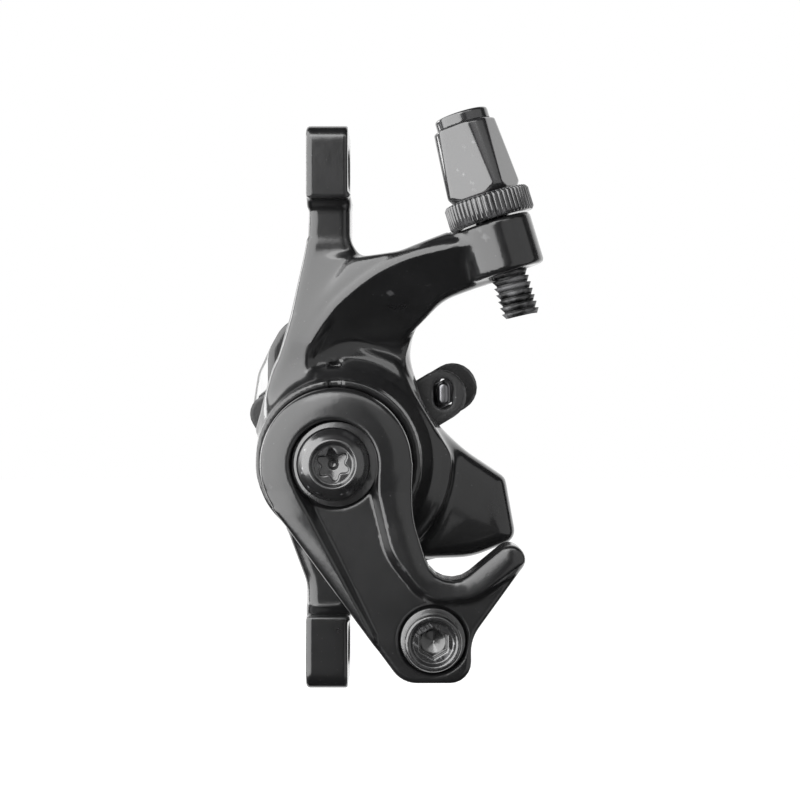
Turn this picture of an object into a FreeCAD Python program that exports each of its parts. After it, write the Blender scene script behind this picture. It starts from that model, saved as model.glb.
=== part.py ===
import FreeCAD, Part
import math
import os
import Sketcher

# Mechanical disc brake caliper for a post mount, millimetres, +Z up.
# Origin: midway between the two ear slots, on the face that meets the fork posts.
# +X points away from the posts, +Y inboard, away from the actuator arm.
# Sketches are drawn as seen from the arm's side: their normal points outboard, along -Y.

Vector = FreeCAD.Vector
Rotation = FreeCAD.Rotation
Placement = FreeCAD.Placement

sizeTable = [
    # Post mount
    ("post_spacing", 74.0), ("ear_thick", 6.7), ("ear_width", 17.0), ("ear_outer", 5.6),
    ("ear_inner", 5.5), ("slot_wide", 6.4), ("slot_long", 11.0), ("rotor_offset", 10.5),
    ("rotor_radius", 80.0), ("rotor_reach", 71.0),
    # Place of the piston axis, and the direction that points away from the rotor's centre
    ("piston_x", 4.8), ("piston_z", -8.3), ("pad_angle", 31.0),
    # Casting
    ("rim_radius", 12.4), ("rim_front", 9.3), ("root_radius", 17.2), ("left_flat", 12.7),
    ("recess_radius", 11.2), ("wall_front", 4.6), ("wall_back", 1.6), ("slot_half", 2.5),
    ("jaw_near", 0.5), ("jaw_far", 23.5), ("jaw_top", 20.8), ("bridge_low", 12.3), ("flank_front", 5.0),
    ("ridge_low", 5.4),
    ("ridge_middle", 9.4), ("ridge_high", 17.4),
    # Pads
    ("pad_gap", 4.4), ("friction_thick", 2.0), ("plate_thick", 1.8), ("plate_half", 15.0),
    ("plate_low", -9.0), ("plate_top", 12.0), ("tab_half", 4.0), ("tab_tip", 23.8),
    ("tab_hole_radius", 1.6), ("tab_hole_reach", 19.1), ("far_tab_shift", -1.8), ("far_tab_more", 0.9),
    ("pad_play", 0.3), ("strip_thick", 0.4),
    # Ball ramp mechanism
    ("piston_radius", 10.0), ("piston_thick", 2.4), ("ball_radius", 1.6), ("ball_circle", 6.2),
    ("ball_sink", 1.1), ("arm_travel", 40.0), ("piston_travel", 1.8), ("cam_radius", 9.6),
    ("shaft_radius", 5.0), ("bush_radius", 6.5), ("cage_radius", 8.8), ("cage_thick", 0.5),
    ("guide_pin_radius", 1.0), ("washer_thick", 0.4),
    # Running and loose clearances
    ("run_gap", 0.05), ("loose_gap", 0.3), ("face_gap", 0.1),
    # Actuator arm
    ("arm_back", 10.0), ("arm_front", 17.5), ("hub_radius", 11.15), ("well_radius", 6.35),
    ("well_floor", 15.3), ("drive_flats", 8.6), ("head_radius", 5.35), ("head_height", 3.3),
    ("bolt_radius", 3.0), ("arm_washer_thick", 1.0), ("anchor_x", 14.2), ("anchor_z", -25.7),
    ("anchor_well", 5.0), ("anchor_floor", 15.6), ("anchor_head", 4.2), ("anchor_head_height", 3.4),
    ("anchor_shank", 2.5), ("clamp_thick", 1.3), ("clamp_radius", 4.7), ("hex_socket", 4.0),
    ("band_depth", 2.0),
    # Return spring
    ("wire_radius", 0.6), ("coil_radius", 8.7), ("coil_start", 5.5), ("coil_pitch", 1.8),
    # Fixed side
    ("foot_radius", 8.5), ("foot_flat", 7.2), ("foot_thick", 2.0), ("stem_radius", 2.9),
    ("knob_hub_radius", 5.0), ("knob_radius", 10.8), ("knob_thick", 3.8), ("clip_thick", 0.5),
    ("lip_thick", 0.4), ("back_wall", 2.7),
    # Cable boss and barrel adjuster
    ("boss_x", 28.0), ("boss_z", 27.4), ("boss_out", 12.5), ("boss_tilt", 16.9), ("boss_radius", 5.55),
    ("boss_height", 7.85), ("stud_radius", 2.9), ("stud_below", 6.5), ("ring_radius", 6.15),
    ("ring_height", 3.4), ("cone_low", 3.7), ("cone_top", 14.0), ("cone_low_radius", 5.6),
    ("cone_top_radius", 4.6), ("collar_radius", 3.95), ("collar_height", 2.0), ("seat_radius", 2.55),
    ("seat_deep", 9.0), ("cable_radius", 1.1),
]

doc = FreeCAD.newDocument("caliper")
sheet = doc.addObject("Spreadsheet::Sheet", "Sizes")


# A length or an angle: its value now, and the formula that ties it to the sheet
class Size:
    def __init__(self, value, formula):
        self.value = value
        self.formula = formula

    def join(self, other, sign, value):
        return Size(value, "(%s %s %s)" % (self.formula, sign, asSize(other).formula))

    def __add__(self, other):
        return self.join(other, "+", self.value + asSize(other).value)

    def __sub__(self, other):
        return self.join(other, "-", self.value - asSize(other).value)

    def __mul__(self, other):
        return self.join(other, "*", self.value * asSize(other).value)

    def __truediv__(self, other):
        return self.join(other, "/", self.value / asSize(other).value)

    def __radd__(self, other):
        return asSize(other) + self

    def __rsub__(self, other):
        return asSize(other) - self

    def __rmul__(self, other):
        return asSize(other) * self

    def __neg__(self):
        return asSize(0) - self


def asSize(item):
    if isinstance(item, Size):
        return item
    return Size(float(item), "(%.6f)" % item)


class SizeSet:
    pass


def makeSheet():
    made = SizeSet()
    for row, (name, value) in enumerate(sizeTable, start=1):
        sheet.set("A%d" % row, name)
        sheet.set("B%d" % row, str(value))
        sheet.setAlias("B%d" % row, name)
    doc.recompute()
    for name, value in sizeTable:
        setattr(made, name, Size(float(sheet.get(name)), "Sizes.%s" % name))
    return made


s = makeSheet()


# Ties a property of a feature to the sheet
def drive(feature, name, size):
    setattr(feature, name, asSize(size).value)
    feature.setExpression(name, asSize(size).formula)


# Frames: local x right, y up and z outboard
outboard = Rotation(Vector(1, 0, 0), 90)
mountFrame = Placement(Vector(0, 0, 0), outboard)
pistonPoint = Vector(s.piston_x.value, 0, s.piston_z.value)
pistonFrame = Placement(pistonPoint, outboard)
padFrame = Placement(pistonPoint, outboard * Rotation(Vector(0, 0, 1), s.pad_angle.value))
boltFrame = Placement(pistonPoint + Vector(s.anchor_x.value, 0, s.anchor_z.value), outboard)
bossPoint = Vector(s.boss_x.value, -s.boss_out.value, s.boss_z.value)
barrelFrame = Placement(bossPoint, Rotation(Vector(0, 1, 0), -s.boss_tilt.value))


def newBody(name, frame):
    body = doc.addObject("PartDesign::Body", name)
    body.Placement = frame
    return body


def newSketch(body, name, role="XY_Plane", height=0):
    sketch = body.newObject("Sketcher::SketchObject", name)
    plane = [item for item in body.Origin.OriginFeatures if item.Role == role][0]
    sketch.AttachmentSupport = [(plane, "")]
    sketch.MapMode = "FlatFace"
    sketch.AttachmentOffset = Placement(Vector(0, 0, asSize(height).value), Rotation())
    sketch.setExpression("AttachmentOffset.Base.z", asSize(height).formula)
    return sketch


def pin(sketch, kind, value, *ends):
    index = sketch.addConstraint(Sketcher.Constraint(kind, *ends, asSize(value).value))
    if isinstance(value, Size):
        sketch.setExpression("Constraints[%d]" % index, value.formula)


def pinPoint(sketch, x, y, geometry, end):
    pin(sketch, "DistanceX", x, -1, 1, geometry, end)
    pin(sketch, "DistanceY", y, -1, 1, geometry, end)


def circle(sketch, x, y, radius):
    centre = Vector(asSize(x).value, asSize(y).value, 0)
    index = sketch.addGeometry(Part.Circle(centre, Vector(0, 0, 1), asSize(radius).value), False)
    pinPoint(sketch, x, y, index, 3)
    pin(sketch, "Radius", radius, index)


# Closed outline through corners (x, y) or (x, y, radius); the sides stay on the corner points
def outline(sketch, corners):
    count = len(corners)
    places = [Vector(asSize(c[0]).value, asSize(c[1]).value, 0) for c in corners]
    radii = [asSize(c[2]).value if len(c) > 2 else 0.0 for c in corners]
    leaving, arriving, centres = [], [], []
    for i in range(count):
        back = (places[i - 1] - places[i]).normalize()
        ahead = (places[(i + 1) % count] - places[i]).normalize()
        half = back.getAngle(ahead) / 2
        reach = radii[i] / math.tan(half)
        arriving.append(places[i] + back * reach)
        leaving.append(places[i] + ahead * reach)
        middle = (back + ahead)
        middle = middle.normalize() if middle.Length > 1e-9 else Vector(0, 0, 0)
        centres.append(places[i] + middle * (radii[i] / math.sin(half)))
    sides = []
    for i in range(count):
        side = Part.LineSegment(leaving[i], arriving[(i + 1) % count])
        sides.append(sketch.addGeometry(side, False))
    for i in range(count):
        before, after = sides[i - 1], sides[i]
        if radii[i] == 0:
            sketch.addConstraint(Sketcher.Constraint("Coincident", before, 2, after, 1))
            pinPoint(sketch, corners[i][0], corners[i][1], after, 1)
            continue
        start = arriving[i] - centres[i]
        finish = leaving[i] - centres[i]
        leftTurn = start.cross(finish).z > 0
        if not leftTurn:
            start, finish = finish, start
        first = math.atan2(start.y, start.x)
        last = math.atan2(finish.y, finish.x)
        ring = Part.Circle(centres[i], Vector(0, 0, 1), radii[i])
        arc = sketch.addGeometry(Part.ArcOfCircle(ring, first, last), False)
        ends = (1, 2) if leftTurn else (2, 1)
        corner = sketch.addGeometry(Part.Point(places[i]), True)
        sketch.addConstraint(Sketcher.Constraint("Tangent", before, 2, arc, ends[0]))
        sketch.addConstraint(Sketcher.Constraint("Tangent", after, 1, arc, ends[1]))
        pin(sketch, "Radius", corners[i][2], arc)
        sketch.addConstraint(Sketcher.Constraint("PointOnObject", corner, 1, before))
        sketch.addConstraint(Sketcher.Constraint("PointOnObject", corner, 1, after))
        pinPoint(sketch, corners[i][0], corners[i][1], corner, 1)


# Solid between two heights from a drawn sketch
def slab(body, name, low, high, draw, role="XY_Plane"):
    sketch = newSketch(body, name + "_sketch", role, low)
    draw(sketch)
    pad = body.newObject("PartDesign::Pad", name)
    pad.Profile = sketch
    drive(pad, "Length", asSize(high) - asSize(low))
    return pad


# Cut between two heights
def cut(body, name, low, high, draw):
    sketch = newSketch(body, name + "_sketch", "XY_Plane", high)
    draw(sketch)
    pocket = body.newObject("PartDesign::Pocket", name)
    pocket.Profile = sketch
    drive(pocket, "Length", asSize(high) - asSize(low))
    return pocket


# Solid turned about the local z axis from corners (radius, height)
def turned(body, name, corners):
    sketch = newSketch(body, name + "_sketch", "XZ_Plane")
    outline(sketch, corners)
    turn = body.newObject("PartDesign::Revolution", name)
    turn.Profile = sketch
    turn.ReferenceAxis = (sketch, ["V_Axis"])
    turn.Angle = 360
    return turn


def ringCorners(inner, outer, low, high):
    return [(inner, low), (outer, low), (outer, high), (inner, high)]


def polygonCorners(flats, sides, turn=0.0, radius=None):
    reach = asSize(flats) / 2 * (1 / math.cos(math.pi / sides))
    corners = []
    for k in range(sides):
        angle = math.radians(turn + 360.0 * k / sides)
        corner = (reach * math.cos(angle), reach * math.sin(angle))
        corners.append(corner if radius is None else corner + (radius,))
    return corners


def around(body, feature, name, count):
    pattern = body.newObject("PartDesign::PolarPattern", name)
    pattern.Originals = [feature]
    axis = [item for item in body.Origin.OriginFeatures if item.Role == "Z_Axis"][0]
    pattern.Axis = (axis, [""])
    pattern.Angle = 360
    pattern.Occurrences = count
    body.Tip = pattern
    return pattern


def rod(name, frame, radius, low, high, x=0.0, y=0.0):
    item = doc.addObject("Part::Cylinder", name)
    drive(item, "Radius", radius)
    drive(item, "Height", asSize(high) - asSize(low))
    place = Vector(asSize(x).value, asSize(y).value, asSize(low).value)
    item.Placement = frame * Placement(place, Rotation())
    return item


def block(name, frame, lowX, highX, lowY, highY, low, high):
    item = doc.addObject("Part::Box", name)
    drive(item, "Length", asSize(highX) - asSize(lowX))
    drive(item, "Width", asSize(highY) - asSize(lowY))
    drive(item, "Height", asSize(high) - asSize(low))
    place = Vector(asSize(lowX).value, asSize(lowY).value, asSize(low).value)
    item.Placement = frame * Placement(place, Rotation())
    return item


def fused(name, items):
    item = doc.addObject("Part::MultiFuse", name)
    item.Shapes = items
    item.Refine = True
    return item


def cutAway(name, base, tools):
    item = doc.addObject("Part::Cut", name)
    item.Base = base
    item.Tool = fused(name + "_tools", tools) if len(tools) > 1 else tools[0]
    item.Refine = True
    return item


# Rounds the outer edges of a flat face that lies at one local height of its body
def roundFace(body, name, height, radius, keep=None):
    doc.recompute()
    edges = []
    inverse = body.Placement.inverse()
    for index, edge in enumerate(body.Shape.Edges, start=1):
        points = [inverse.multVec(p) for p in edge.discretize(5)]
        if max(abs(p.z - asSize(height).value) for p in points) > 0.001:
            continue
        if keep is None or all(keep(p) for p in points):
            edges.append("Edge%d" % index)
    base = body.Tip
    rounding = body.newObject("PartDesign::Fillet", name)
    rounding.Base = (base, edges)
    drive(rounding, "Radius", radius)
    return rounding


# Levels along the piston axis, measured outboard from the middle of the ears
rotorLevel = -s.rotor_offset
nearFriction = rotorLevel + s.pad_gap / 2
nearPlate = nearFriction + s.friction_thick
pistonFace = nearPlate + s.plate_thick
farFriction = rotorLevel - s.pad_gap / 2
farPlate = farFriction - s.friction_thick
farBack = farPlate - s.plate_thick
pistonTop = pistonFace + s.piston_thick
ballLevel = pistonTop + s.ball_radius - s.ball_sink
camFace = ballLevel + s.ball_radius - s.ball_sink
washerLow = s.wall_back - s.washer_thick
camTop = washerLow - s.face_gap
pistonBore = s.piston_radius + s.run_gap
footBack = farBack - s.foot_thick
clipFront = footBack - s.face_gap - s.lip_thick
clipBack = clipFront - s.clip_thick
wallInside = clipBack - s.face_gap
wallOutside = wallInside - s.back_wall
postHalf = s.post_spacing / 2
travelTurn = s.arm_travel.value / 2


# Outline of the jaws and the bridge as seen along the piston axis, in the pad frame
def jawCorners(inboard):
    top = s.jaw_top
    bend = 30.0 if inboard else 12.0
    ends = [(9.8, 23.8, bend), (top - 3.5, 25.0, 2.2), (top, 15.8, 2.0), (top - 4.6, 8.0, 2.6),
            (top - 5.0, s.tab_half)]
    upper = [(0.0, 17.5), (3.8, 20.4, 3.0)]
    lower = upper
    if inboard:
        upper = [(-9.5, 14.0, 3.0), (-5.0, 19.1, 4.0), (2.4, 23.3, 6.0)]
        lower = [(-9.5, 14.0, 3.0), (-5.0, 18.4, 4.0), (3.5, 21.6, 6.0)]
    mirrored = [(x, -asSize(y), *rest) for x, y, *rest in reversed(lower + ends)]
    return upper + ends + mirrored


# Block that takes away everything beyond a plane through a point, given the plane's outward direction
def halfSpace(name, point, outward):
    size = s.post_spacing
    item = doc.addObject("Part::Box", name)
    for side in ("Length", "Width", "Height"):
        drive(item, side, size)
    turn = Rotation(Vector(0, 0, 1), outward)
    item.Placement = Placement(point - turn.multVec(Vector(size.value / 2, size.value / 2, 0)), turn)
    return item


# Cable arm: its outline from the side, its sweep outboard, and the two slopes that meet in its ridge
def cableArm():
    front = newBody("arm_front_blank", mountFrame)
    slab(front, "arm_front_pad", -4.0, s.boss_out + s.boss_radius, lambda k: outline(k, [
        (-2.0, 12.5), (6.5, 22.6, 4.0), (14.0, 23.3, 8.0), (24.0, 27.0), (29.0, 26.0), (29.6, 19.2),
        (20.8, 16.1, 8.0), (14.6, 10.0, 6.0), (15.0, 4.0), (3.0, 4.0)]))
    plan = newBody("arm_plan_blank", Placement(Vector(0, 0, 0), Rotation()))
    out = s.boss_out
    wide = s.boss_radius
    slab(plan, "arm_plan_pad", 0.0, 40.0, lambda k: outline(k, [
        (-4.0, 3.0), (-4.0, -s.flank_front - 2.0), (6.0, -s.flank_front - 4.4, 12.0),
        (22.5, -out - wide - 0.2, 6.0), (29.5, -out - wide + 0.4), (29.5, -out + wide - 0.4),
        (24.0, -out + wide, 8.0), (11.0, 3.0)]))
    both = doc.addObject("Part::Common", "arm_sweep_blank")
    both.Base = front
    both.Tool = plan
    ridge = [Vector(0.6, -s.ridge_low.value, 9.6), Vector(9.0, -s.ridge_middle.value, 18.8),
             Vector(23.5, -s.ridge_high.value, 23.7)]
    lowerFall = 0.7
    split = (ridge[1] - ridge[0]).normalize() + (ridge[2] - ridge[1]).normalize()
    split.y = 0
    lengths = []
    for number, upperFall in enumerate((0.55, 0.85)):
        start = ridge[number]
        crest = ridge[number + 1] - start
        side = Vector(crest.z, 0, -crest.x).normalize()
        low = side + Vector(0, lowerFall, 0)
        high = Vector(0, upperFall, 0) - side
        slopes = [halfSpace("low_slope_%d" % number, start, low.cross(crest)),
                  halfSpace("high_slope_%d" % number, start, crest.cross(high)),
                  halfSpace("ridge_split_%d" % number, ridge[1], split * (1 - 2 * number))]
        lengths.append(cutAway("arm_length_%d" % number, both, slopes))
    return fused("cable_arm_blank", lengths)


# Front of the neck, which rises towards the housing and ends in a rounded edge above it
def neckFront():
    lean = 6.0
    top = Vector(0, -s.flank_front.value, 24.0)
    body = newBody("neck_front_blank", Placement(top, outboard * Rotation(Vector(1, 0, 0), -lean)))
    slab(body, "neck_front_pad", -4.0, 0, lambda k: outline(k, [
        (0.2, 0.6), (-2.4, -10.2, 20.0), (-3.3, -15.4), (-1.2, -15.4), (0.4, -14.6, 2.0), (5.2, -8.3, 8.0),
        (9.0, -5.1), (8.0, -1.1), (6.4, 0.6)]))
    roundFace(body, "neck_front_round", 0, 1.0)
    return body


def caliperBody():
    housing = newBody("housing_blank", pistonFrame)
    rim = s.rim_radius
    turned(housing, "housing_turn", [
        (0, rotorLevel + s.slot_half), (s.root_radius, rotorLevel + s.slot_half), (s.root_radius, 3.6, 0.8),
        (rim + 2.2, 5.2, 4.0), (rim + 0.2, 7.6, 1.0), (rim, s.rim_front), (0, s.rim_front)])
    side = s.left_flat
    cut(housing, "left_flat_cut", rotorLevel, s.rim_front, lambda k: outline(k, [
        (-side - 9, -30), (5.0, -30), (5.0, -17.1), (-4.2, -13.2, 8.0), (-10.7, -6.7, 8.0),
        (-side, -1.8, 8.0), (-side, 30), (-side - 9, 30)]))
    tabSide = block("tab_side_tool", padFrame, s.jaw_top - 5.4, 30, -14, 14, rotorLevel, s.rim_front)
    flatHousing = cutAway("flat_housing_blank", housing, [tabSide])

    # Neck from the upper ear to the housing, with the web that carries the cable arm
    neck = newBody("neck_blank", mountFrame)
    earLow = postHalf - s.ear_inner
    slab(neck, "neck_pad", rotorLevel + s.slot_half, s.flank_front, lambda k: outline(k, [
        (0.5, earLow), (0.2, earLow - 7.0, 20.0), (-2.4, 13.9, 20.0), (-7.6, -3.6), (s.piston_x, s.piston_z),
        (0.3, 9.4), (4.0, 14.0), (12.0, 20.0), (12.0, 23.2), (6.6, 22.9, 4.0), (6.6, earLow)]))
    roundFace(neck, "neck_round", s.flank_front, 1.2,
              lambda p: 1.0 < p.y < earLow.value - 0.1 and (p.x < 0.6 or p.y > 20.1))
    web = newBody("web_blank", mountFrame)
    slab(web, "web_pad", rotorLevel + s.slot_half, s.flank_front - 2.5, lambda k: outline(k, [
        (-2.4, 10.0), (s.piston_x, s.piston_z), (17.5, -1.0), (14.6, 7.0, 5.0), (18.2, 16.5), (14.0, 23.3),
        (6.0, 23.0)]))

    lower = newBody("lower_neck_blank", mountFrame)
    slab(lower, "lower_neck_pad", rotorLevel + s.slot_half, s.flank_front, lambda k: outline(k, [
        (0, -earLow), (0, -27.0, 6.0), (-3.2, -18.5), (s.piston_x, s.piston_z), (16.5, -16.5),
        (9.0, -23.5, 6.0), (6.6, -29.0, 4.0), (6.6, -earLow)]))
    roundFace(lower, "lower_neck_round", s.flank_front, 2.0, lambda p: 0.1 - earLow.value < p.y < -20)

    # Ears, drawn as seen along +X, with the slots for the mounting bolts
    ears = newBody("ear_blank", mountFrame)
    sketch = newSketch(ears, "ear_sketch", "YZ_Plane")
    wide = s.ear_width / 2
    for sign in (1, -1):
        tip = (postHalf + s.ear_outer) * sign
        low = earLow * sign
        foot = low - 1.3 * sign
        base = s.flank_front - 0.1
        outline(sketch, [(low, -wide, 1.5), (tip, -wide, 2.3), (tip, wide, 2.3), (low, wide, 0.5),
                         (low, base + 1.3, 1.2), (foot, base), (foot, base - 2), (low, base - 2)])
        near = (postHalf - s.slot_wide / 2) * sign
        far = (postHalf + s.slot_wide / 2) * sign
        reach = s.slot_long / 2
        bend = s.slot_wide / 2 - 0.01
        outline(sketch, [(near, -reach, bend), (far, -reach, bend), (far, reach, bend), (near, reach, bend)])
    pad = ears.newObject("PartDesign::Pad", "ear_pad")
    pad.Profile = sketch
    drive(pad, "Length", s.ear_thick)

    boss = rod("boss_blank", barrelFrame, s.boss_radius, -s.boss_height, 0)

    jaw = newBody("near_jaw_blank", padFrame)
    slab(jaw, "near_jaw_pad", rotorLevel, -s.jaw_near, lambda k: outline(k, jawCorners(False)))
    roundFace(jaw, "near_jaw_round", -s.jaw_near, 1.6, lambda p: p.x > 1.0)
    farJaw = newBody("far_jaw_blank", padFrame)
    slab(farJaw, "far_jaw_pad", -s.jaw_far, rotorLevel, lambda k: outline(k, jawCorners(True)))
    roundFace(farJaw, "far_jaw_round", -s.jaw_far, 1.6)

    blank = fused("casting_blank", [
        flatHousing, neck, web, neckFront(), lower, ears, cableArm(), boss, jaw, farJaw])

    half = s.plate_half + s.pad_play
    tab = s.tab_half + s.pad_play
    rotorPlace = Vector(-s.rotor_reach.value, 0, (rotorLevel - s.slot_half).value)
    rotorSlot = rod("rotor_slot_tool", padFrame, s.rotor_radius + 2.5, 0, s.slot_half * 2)
    rotorSlot.Placement = padFrame * Placement(rotorPlace, Rotation())
    footBore = newBody("foot_bore_tool", padFrame)
    slab(footBore, "foot_bore_pad", wallInside, farBack + 0.1,
         lambda k: flatSided(k, s.foot_radius + s.run_gap, s.foot_flat + s.run_gap))
    notchFrame = pistonFrame * Placement(Vector(0, 0, 0), Rotation(Vector(0, 0, 1), notchAngle))
    tools = [
        rotorSlot, footBore,
        block("pad_pocket_tool", padFrame, -30, s.bridge_low, -half, half, farBack - 0.1, pistonFace),
        block("near_tab_tool", padFrame, 0, 40, -tab, tab, rotorLevel, pistonFace + 0.3),
        block("far_tab_tool", padFrame, 0, 40, s.far_tab_shift - tab, tab, farBack - 0.3, rotorLevel),
        rod("piston_bore_tool", pistonFrame, pistonBore, pistonFace - 0.5, s.wall_back),
        rod("recess_tool", pistonFrame, s.recess_radius, s.wall_front, s.rim_front + 1),
        rod("bush_bore_tool", pistonFrame, s.bush_radius, s.wall_back - 1, s.wall_front + 1),
        rod("guide_pin_hole", padFrame, s.guide_pin_radius, pistonFace, camFace - s.loose_gap, 0, pistonBore),
        rod("knob_bore_tool", padFrame, s.knob_hub_radius + s.run_gap, -s.jaw_far - 1, wallInside + 1),
        rod("knob_seat_tool", padFrame, s.knob_radius + s.loose_gap, -s.jaw_far - 1, wallOutside),
        rod("boss_face_tool", barrelFrame, s.ring_radius + s.loose_gap, 0, 6.0),
        rod("boss_hole", barrelFrame, s.stud_radius + s.run_gap * 2, -s.boss_height - 1, 1),
        block("spring_notch_tool", notchFrame, s.coil_radius, s.recess_radius + 0.6, -1.0, 1.0,
              s.wall_front, s.rim_front + 1),
    ]
    return cutAway("caliper_body", blank, tools)


# Disc with two flat sides, which can't turn in its bore
def flatSided(sketch, radius, flat):
    value = asSize(radius).value
    level = asSize(flat).value
    across = math.sqrt(value * value - level * level)
    angle = math.atan2(level, across)
    ring = Part.Circle(Vector(0, 0, 0), Vector(0, 0, 1), value)
    right = sketch.addGeometry(Part.ArcOfCircle(ring, -angle, angle), False)
    left = sketch.addGeometry(Part.ArcOfCircle(ring, math.pi - angle, math.pi + angle), False)
    top = sketch.addGeometry(Part.LineSegment(Vector(across, level, 0), Vector(-across, level, 0)), False)
    low = sketch.addGeometry(Part.LineSegment(Vector(-across, -level, 0), Vector(across, -level, 0)), False)
    joins = [(right, 2, top, 1), (top, 2, left, 1), (left, 2, low, 1), (low, 2, right, 1)]
    for join in joins:
        sketch.addConstraint(Sketcher.Constraint("Coincident", *join))
    for arc in (right, left):
        sketch.addConstraint(Sketcher.Constraint("Coincident", arc, 3, -1, 1))
        pin(sketch, "Radius", radius, arc)
    pin(sketch, "DistanceY", flat, -1, 1, top, 1)
    pin(sketch, "DistanceY", -flat, -1, 1, low, 1)
    sketch.addConstraint(Sketcher.Constraint("Horizontal", top))
    sketch.addConstraint(Sketcher.Constraint("Horizontal", low))


# Groove that a ball rolls in: its centre follows a rising arc about the piston axis
def ballGroove(name, startAngle, turnAngle, rise):
    radius = s.ball_circle.value
    bore = s.ball_radius.value + s.run_gap.value

    def place(part):
        angle = math.radians(startAngle + turnAngle * part)
        return Vector(radius * math.cos(angle), radius * math.sin(angle), ballLevel.value + rise * part)

    path = Part.Arc(place(0), place(0.5), place(1)).toShape()
    curve = path.Curve
    section = Part.Circle(place(0), path.tangentAt(path.FirstParameter), bore)
    face = Part.Face(Part.Wire([section.toShape()]))
    sweep = math.degrees(path.LastParameter - path.FirstParameter)
    tube = face.revolve(curve.Center, curve.Axis, sweep)
    ends = [Part.makeSphere(bore, place(0)), Part.makeSphere(bore, place(1))]
    item = doc.addObject("Part::Feature", name)
    item.Shape = tube.fuse(ends)
    item.Placement = pistonFrame
    return item


def rampSpindle():
    body = newBody("spindle_blank", pistonFrame)
    turned(body, "spindle_turn", [
        (0, camFace), (s.cam_radius, camFace), (s.cam_radius, camTop), (s.shaft_radius, camTop),
        (s.shaft_radius, s.arm_back), (0, s.arm_back)])
    slab(body, "drive_hex", s.arm_back, s.well_floor,
         lambda k: outline(k, polygonCorners(s.drive_flats, 6, 30)))
    cut(body, "bolt_thread", s.arm_back - 7, s.well_floor, lambda k: circle(k, 0, 0, s.bolt_radius))
    grooves = [ballGroove("spindle_groove_%d" % k, 120 * k, -travelTurn, -s.piston_travel.value / 2)
               for k in range(3)]
    return cutAway("ramp_spindle", body, grooves)


def piston():
    body = newBody("piston_blank", pistonFrame)
    turned(body, "piston_turn", ringCorners(0, s.piston_radius, pistonFace, pistonTop))
    grooves = [ballGroove("piston_groove_%d" % k, 120 * k, travelTurn, s.piston_travel.value / 2)
               for k in range(3)]
    keyway = rod("piston_keyway", padFrame, s.guide_pin_radius + s.run_gap, pistonFace - 1, pistonTop + 1,
                 0, pistonBore)
    return cutAway("piston", body, grooves + [keyway])


def rampBalls():
    balls = []
    for k in range(3):
        ball = doc.addObject("Part::Sphere", "ball_%d" % k)
        drive(ball, "Radius", s.ball_radius)
        angle = math.radians(120 * k)
        reach = s.ball_circle.value
        place = Vector(reach * math.cos(angle), reach * math.sin(angle), ballLevel.value)
        ball.Placement = pistonFrame * Placement(place, Rotation())
        balls.append(ball)
    item = doc.addObject("Part::Compound", "ramp_balls")
    item.Links = balls
    return item


def ballCage():
    body = newBody("ball_cage", pistonFrame)
    low = ballLevel - s.cage_thick / 2
    high = ballLevel + s.cage_thick / 2
    turned(body, "cage_turn", ringCorners(3.6, s.cage_radius, low, high))
    hole = cut(body, "cage_hole", low, high, lambda k: circle(k, s.ball_circle, 0, s.ball_radius + s.run_gap))
    around(body, hole, "cage_holes", 3)
    return body


def spindleBush():
    body = newBody("spindle_bush", pistonFrame)
    inner = s.shaft_radius + s.run_gap
    flange = s.wall_front + 0.7
    turned(body, "bush_turn", [
        (inner, s.wall_back), (s.bush_radius, s.wall_back), (s.bush_radius, s.wall_front),
        (s.bush_radius + 1.0, s.wall_front), (s.bush_radius + 1.0, flange), (inner, flange)])
    return body


def thrustWasher():
    body = newBody("thrust_washer", pistonFrame)
    turned(body, "washer_turn", ringCorners(s.shaft_radius + s.loose_gap, s.cam_radius - 0.1,
                                            washerLow, s.wall_back))
    return body


def dustSeal():
    body = newBody("dust_seal", pistonFrame)
    low = s.wall_front + 0.7
    inner = s.shaft_radius + s.face_gap
    high = s.arm_back - s.loose_gap
    turned(body, "seal_turn", [
        (inner, low), (inner + 2.2, low), (inner + 2.2, low + 1.0), (inner + 1.2, low + 1.8),
        (inner + 1.8, high), (inner + 1.2, high), (inner, low + 2.2)])
    return body


def guidePin():
    return rod("guide_pin", padFrame, s.guide_pin_radius, pistonFace, camFace - s.loose_gap, 0, pistonBore)


# Backing plate with its tab
def padPlate(name, low, high, tabMiddle, tip):
    body = newBody(name, padFrame)
    side = s.plate_half
    slab(body, name + "_pad", low, high, lambda k: outline(k, [
        (s.plate_low, -side, 3.0), (s.plate_top, -side, 3.0), (s.plate_top, tabMiddle - s.tab_half, 0.4),
        (tip, tabMiddle - s.tab_half, s.tab_half - 0.05), (tip, tabMiddle + s.tab_half, s.tab_half - 0.05),
        (s.plate_top, tabMiddle + s.tab_half, 0.4), (s.plate_top, side, 3.0), (s.plate_low, side, 3.0)]))
    shift = tip - s.tab_tip
    cut(body, name + "_hole", low, high,
        lambda k: circle(k, s.tab_hole_reach + shift, tabMiddle, s.tab_hole_radius))
    return body


def frictionBlock(name, low, high):
    body = newBody(name, padFrame)
    side = s.plate_half - 2
    slab(body, name + "_pad", low, high, lambda k: outline(k, [
        (s.plate_low + 1, -side, 3.0), (s.plate_top - 3, -side, 5.0), (s.plate_top - 3, side, 5.0),
        (s.plate_low + 1, side, 3.0)]))
    return body


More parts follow.
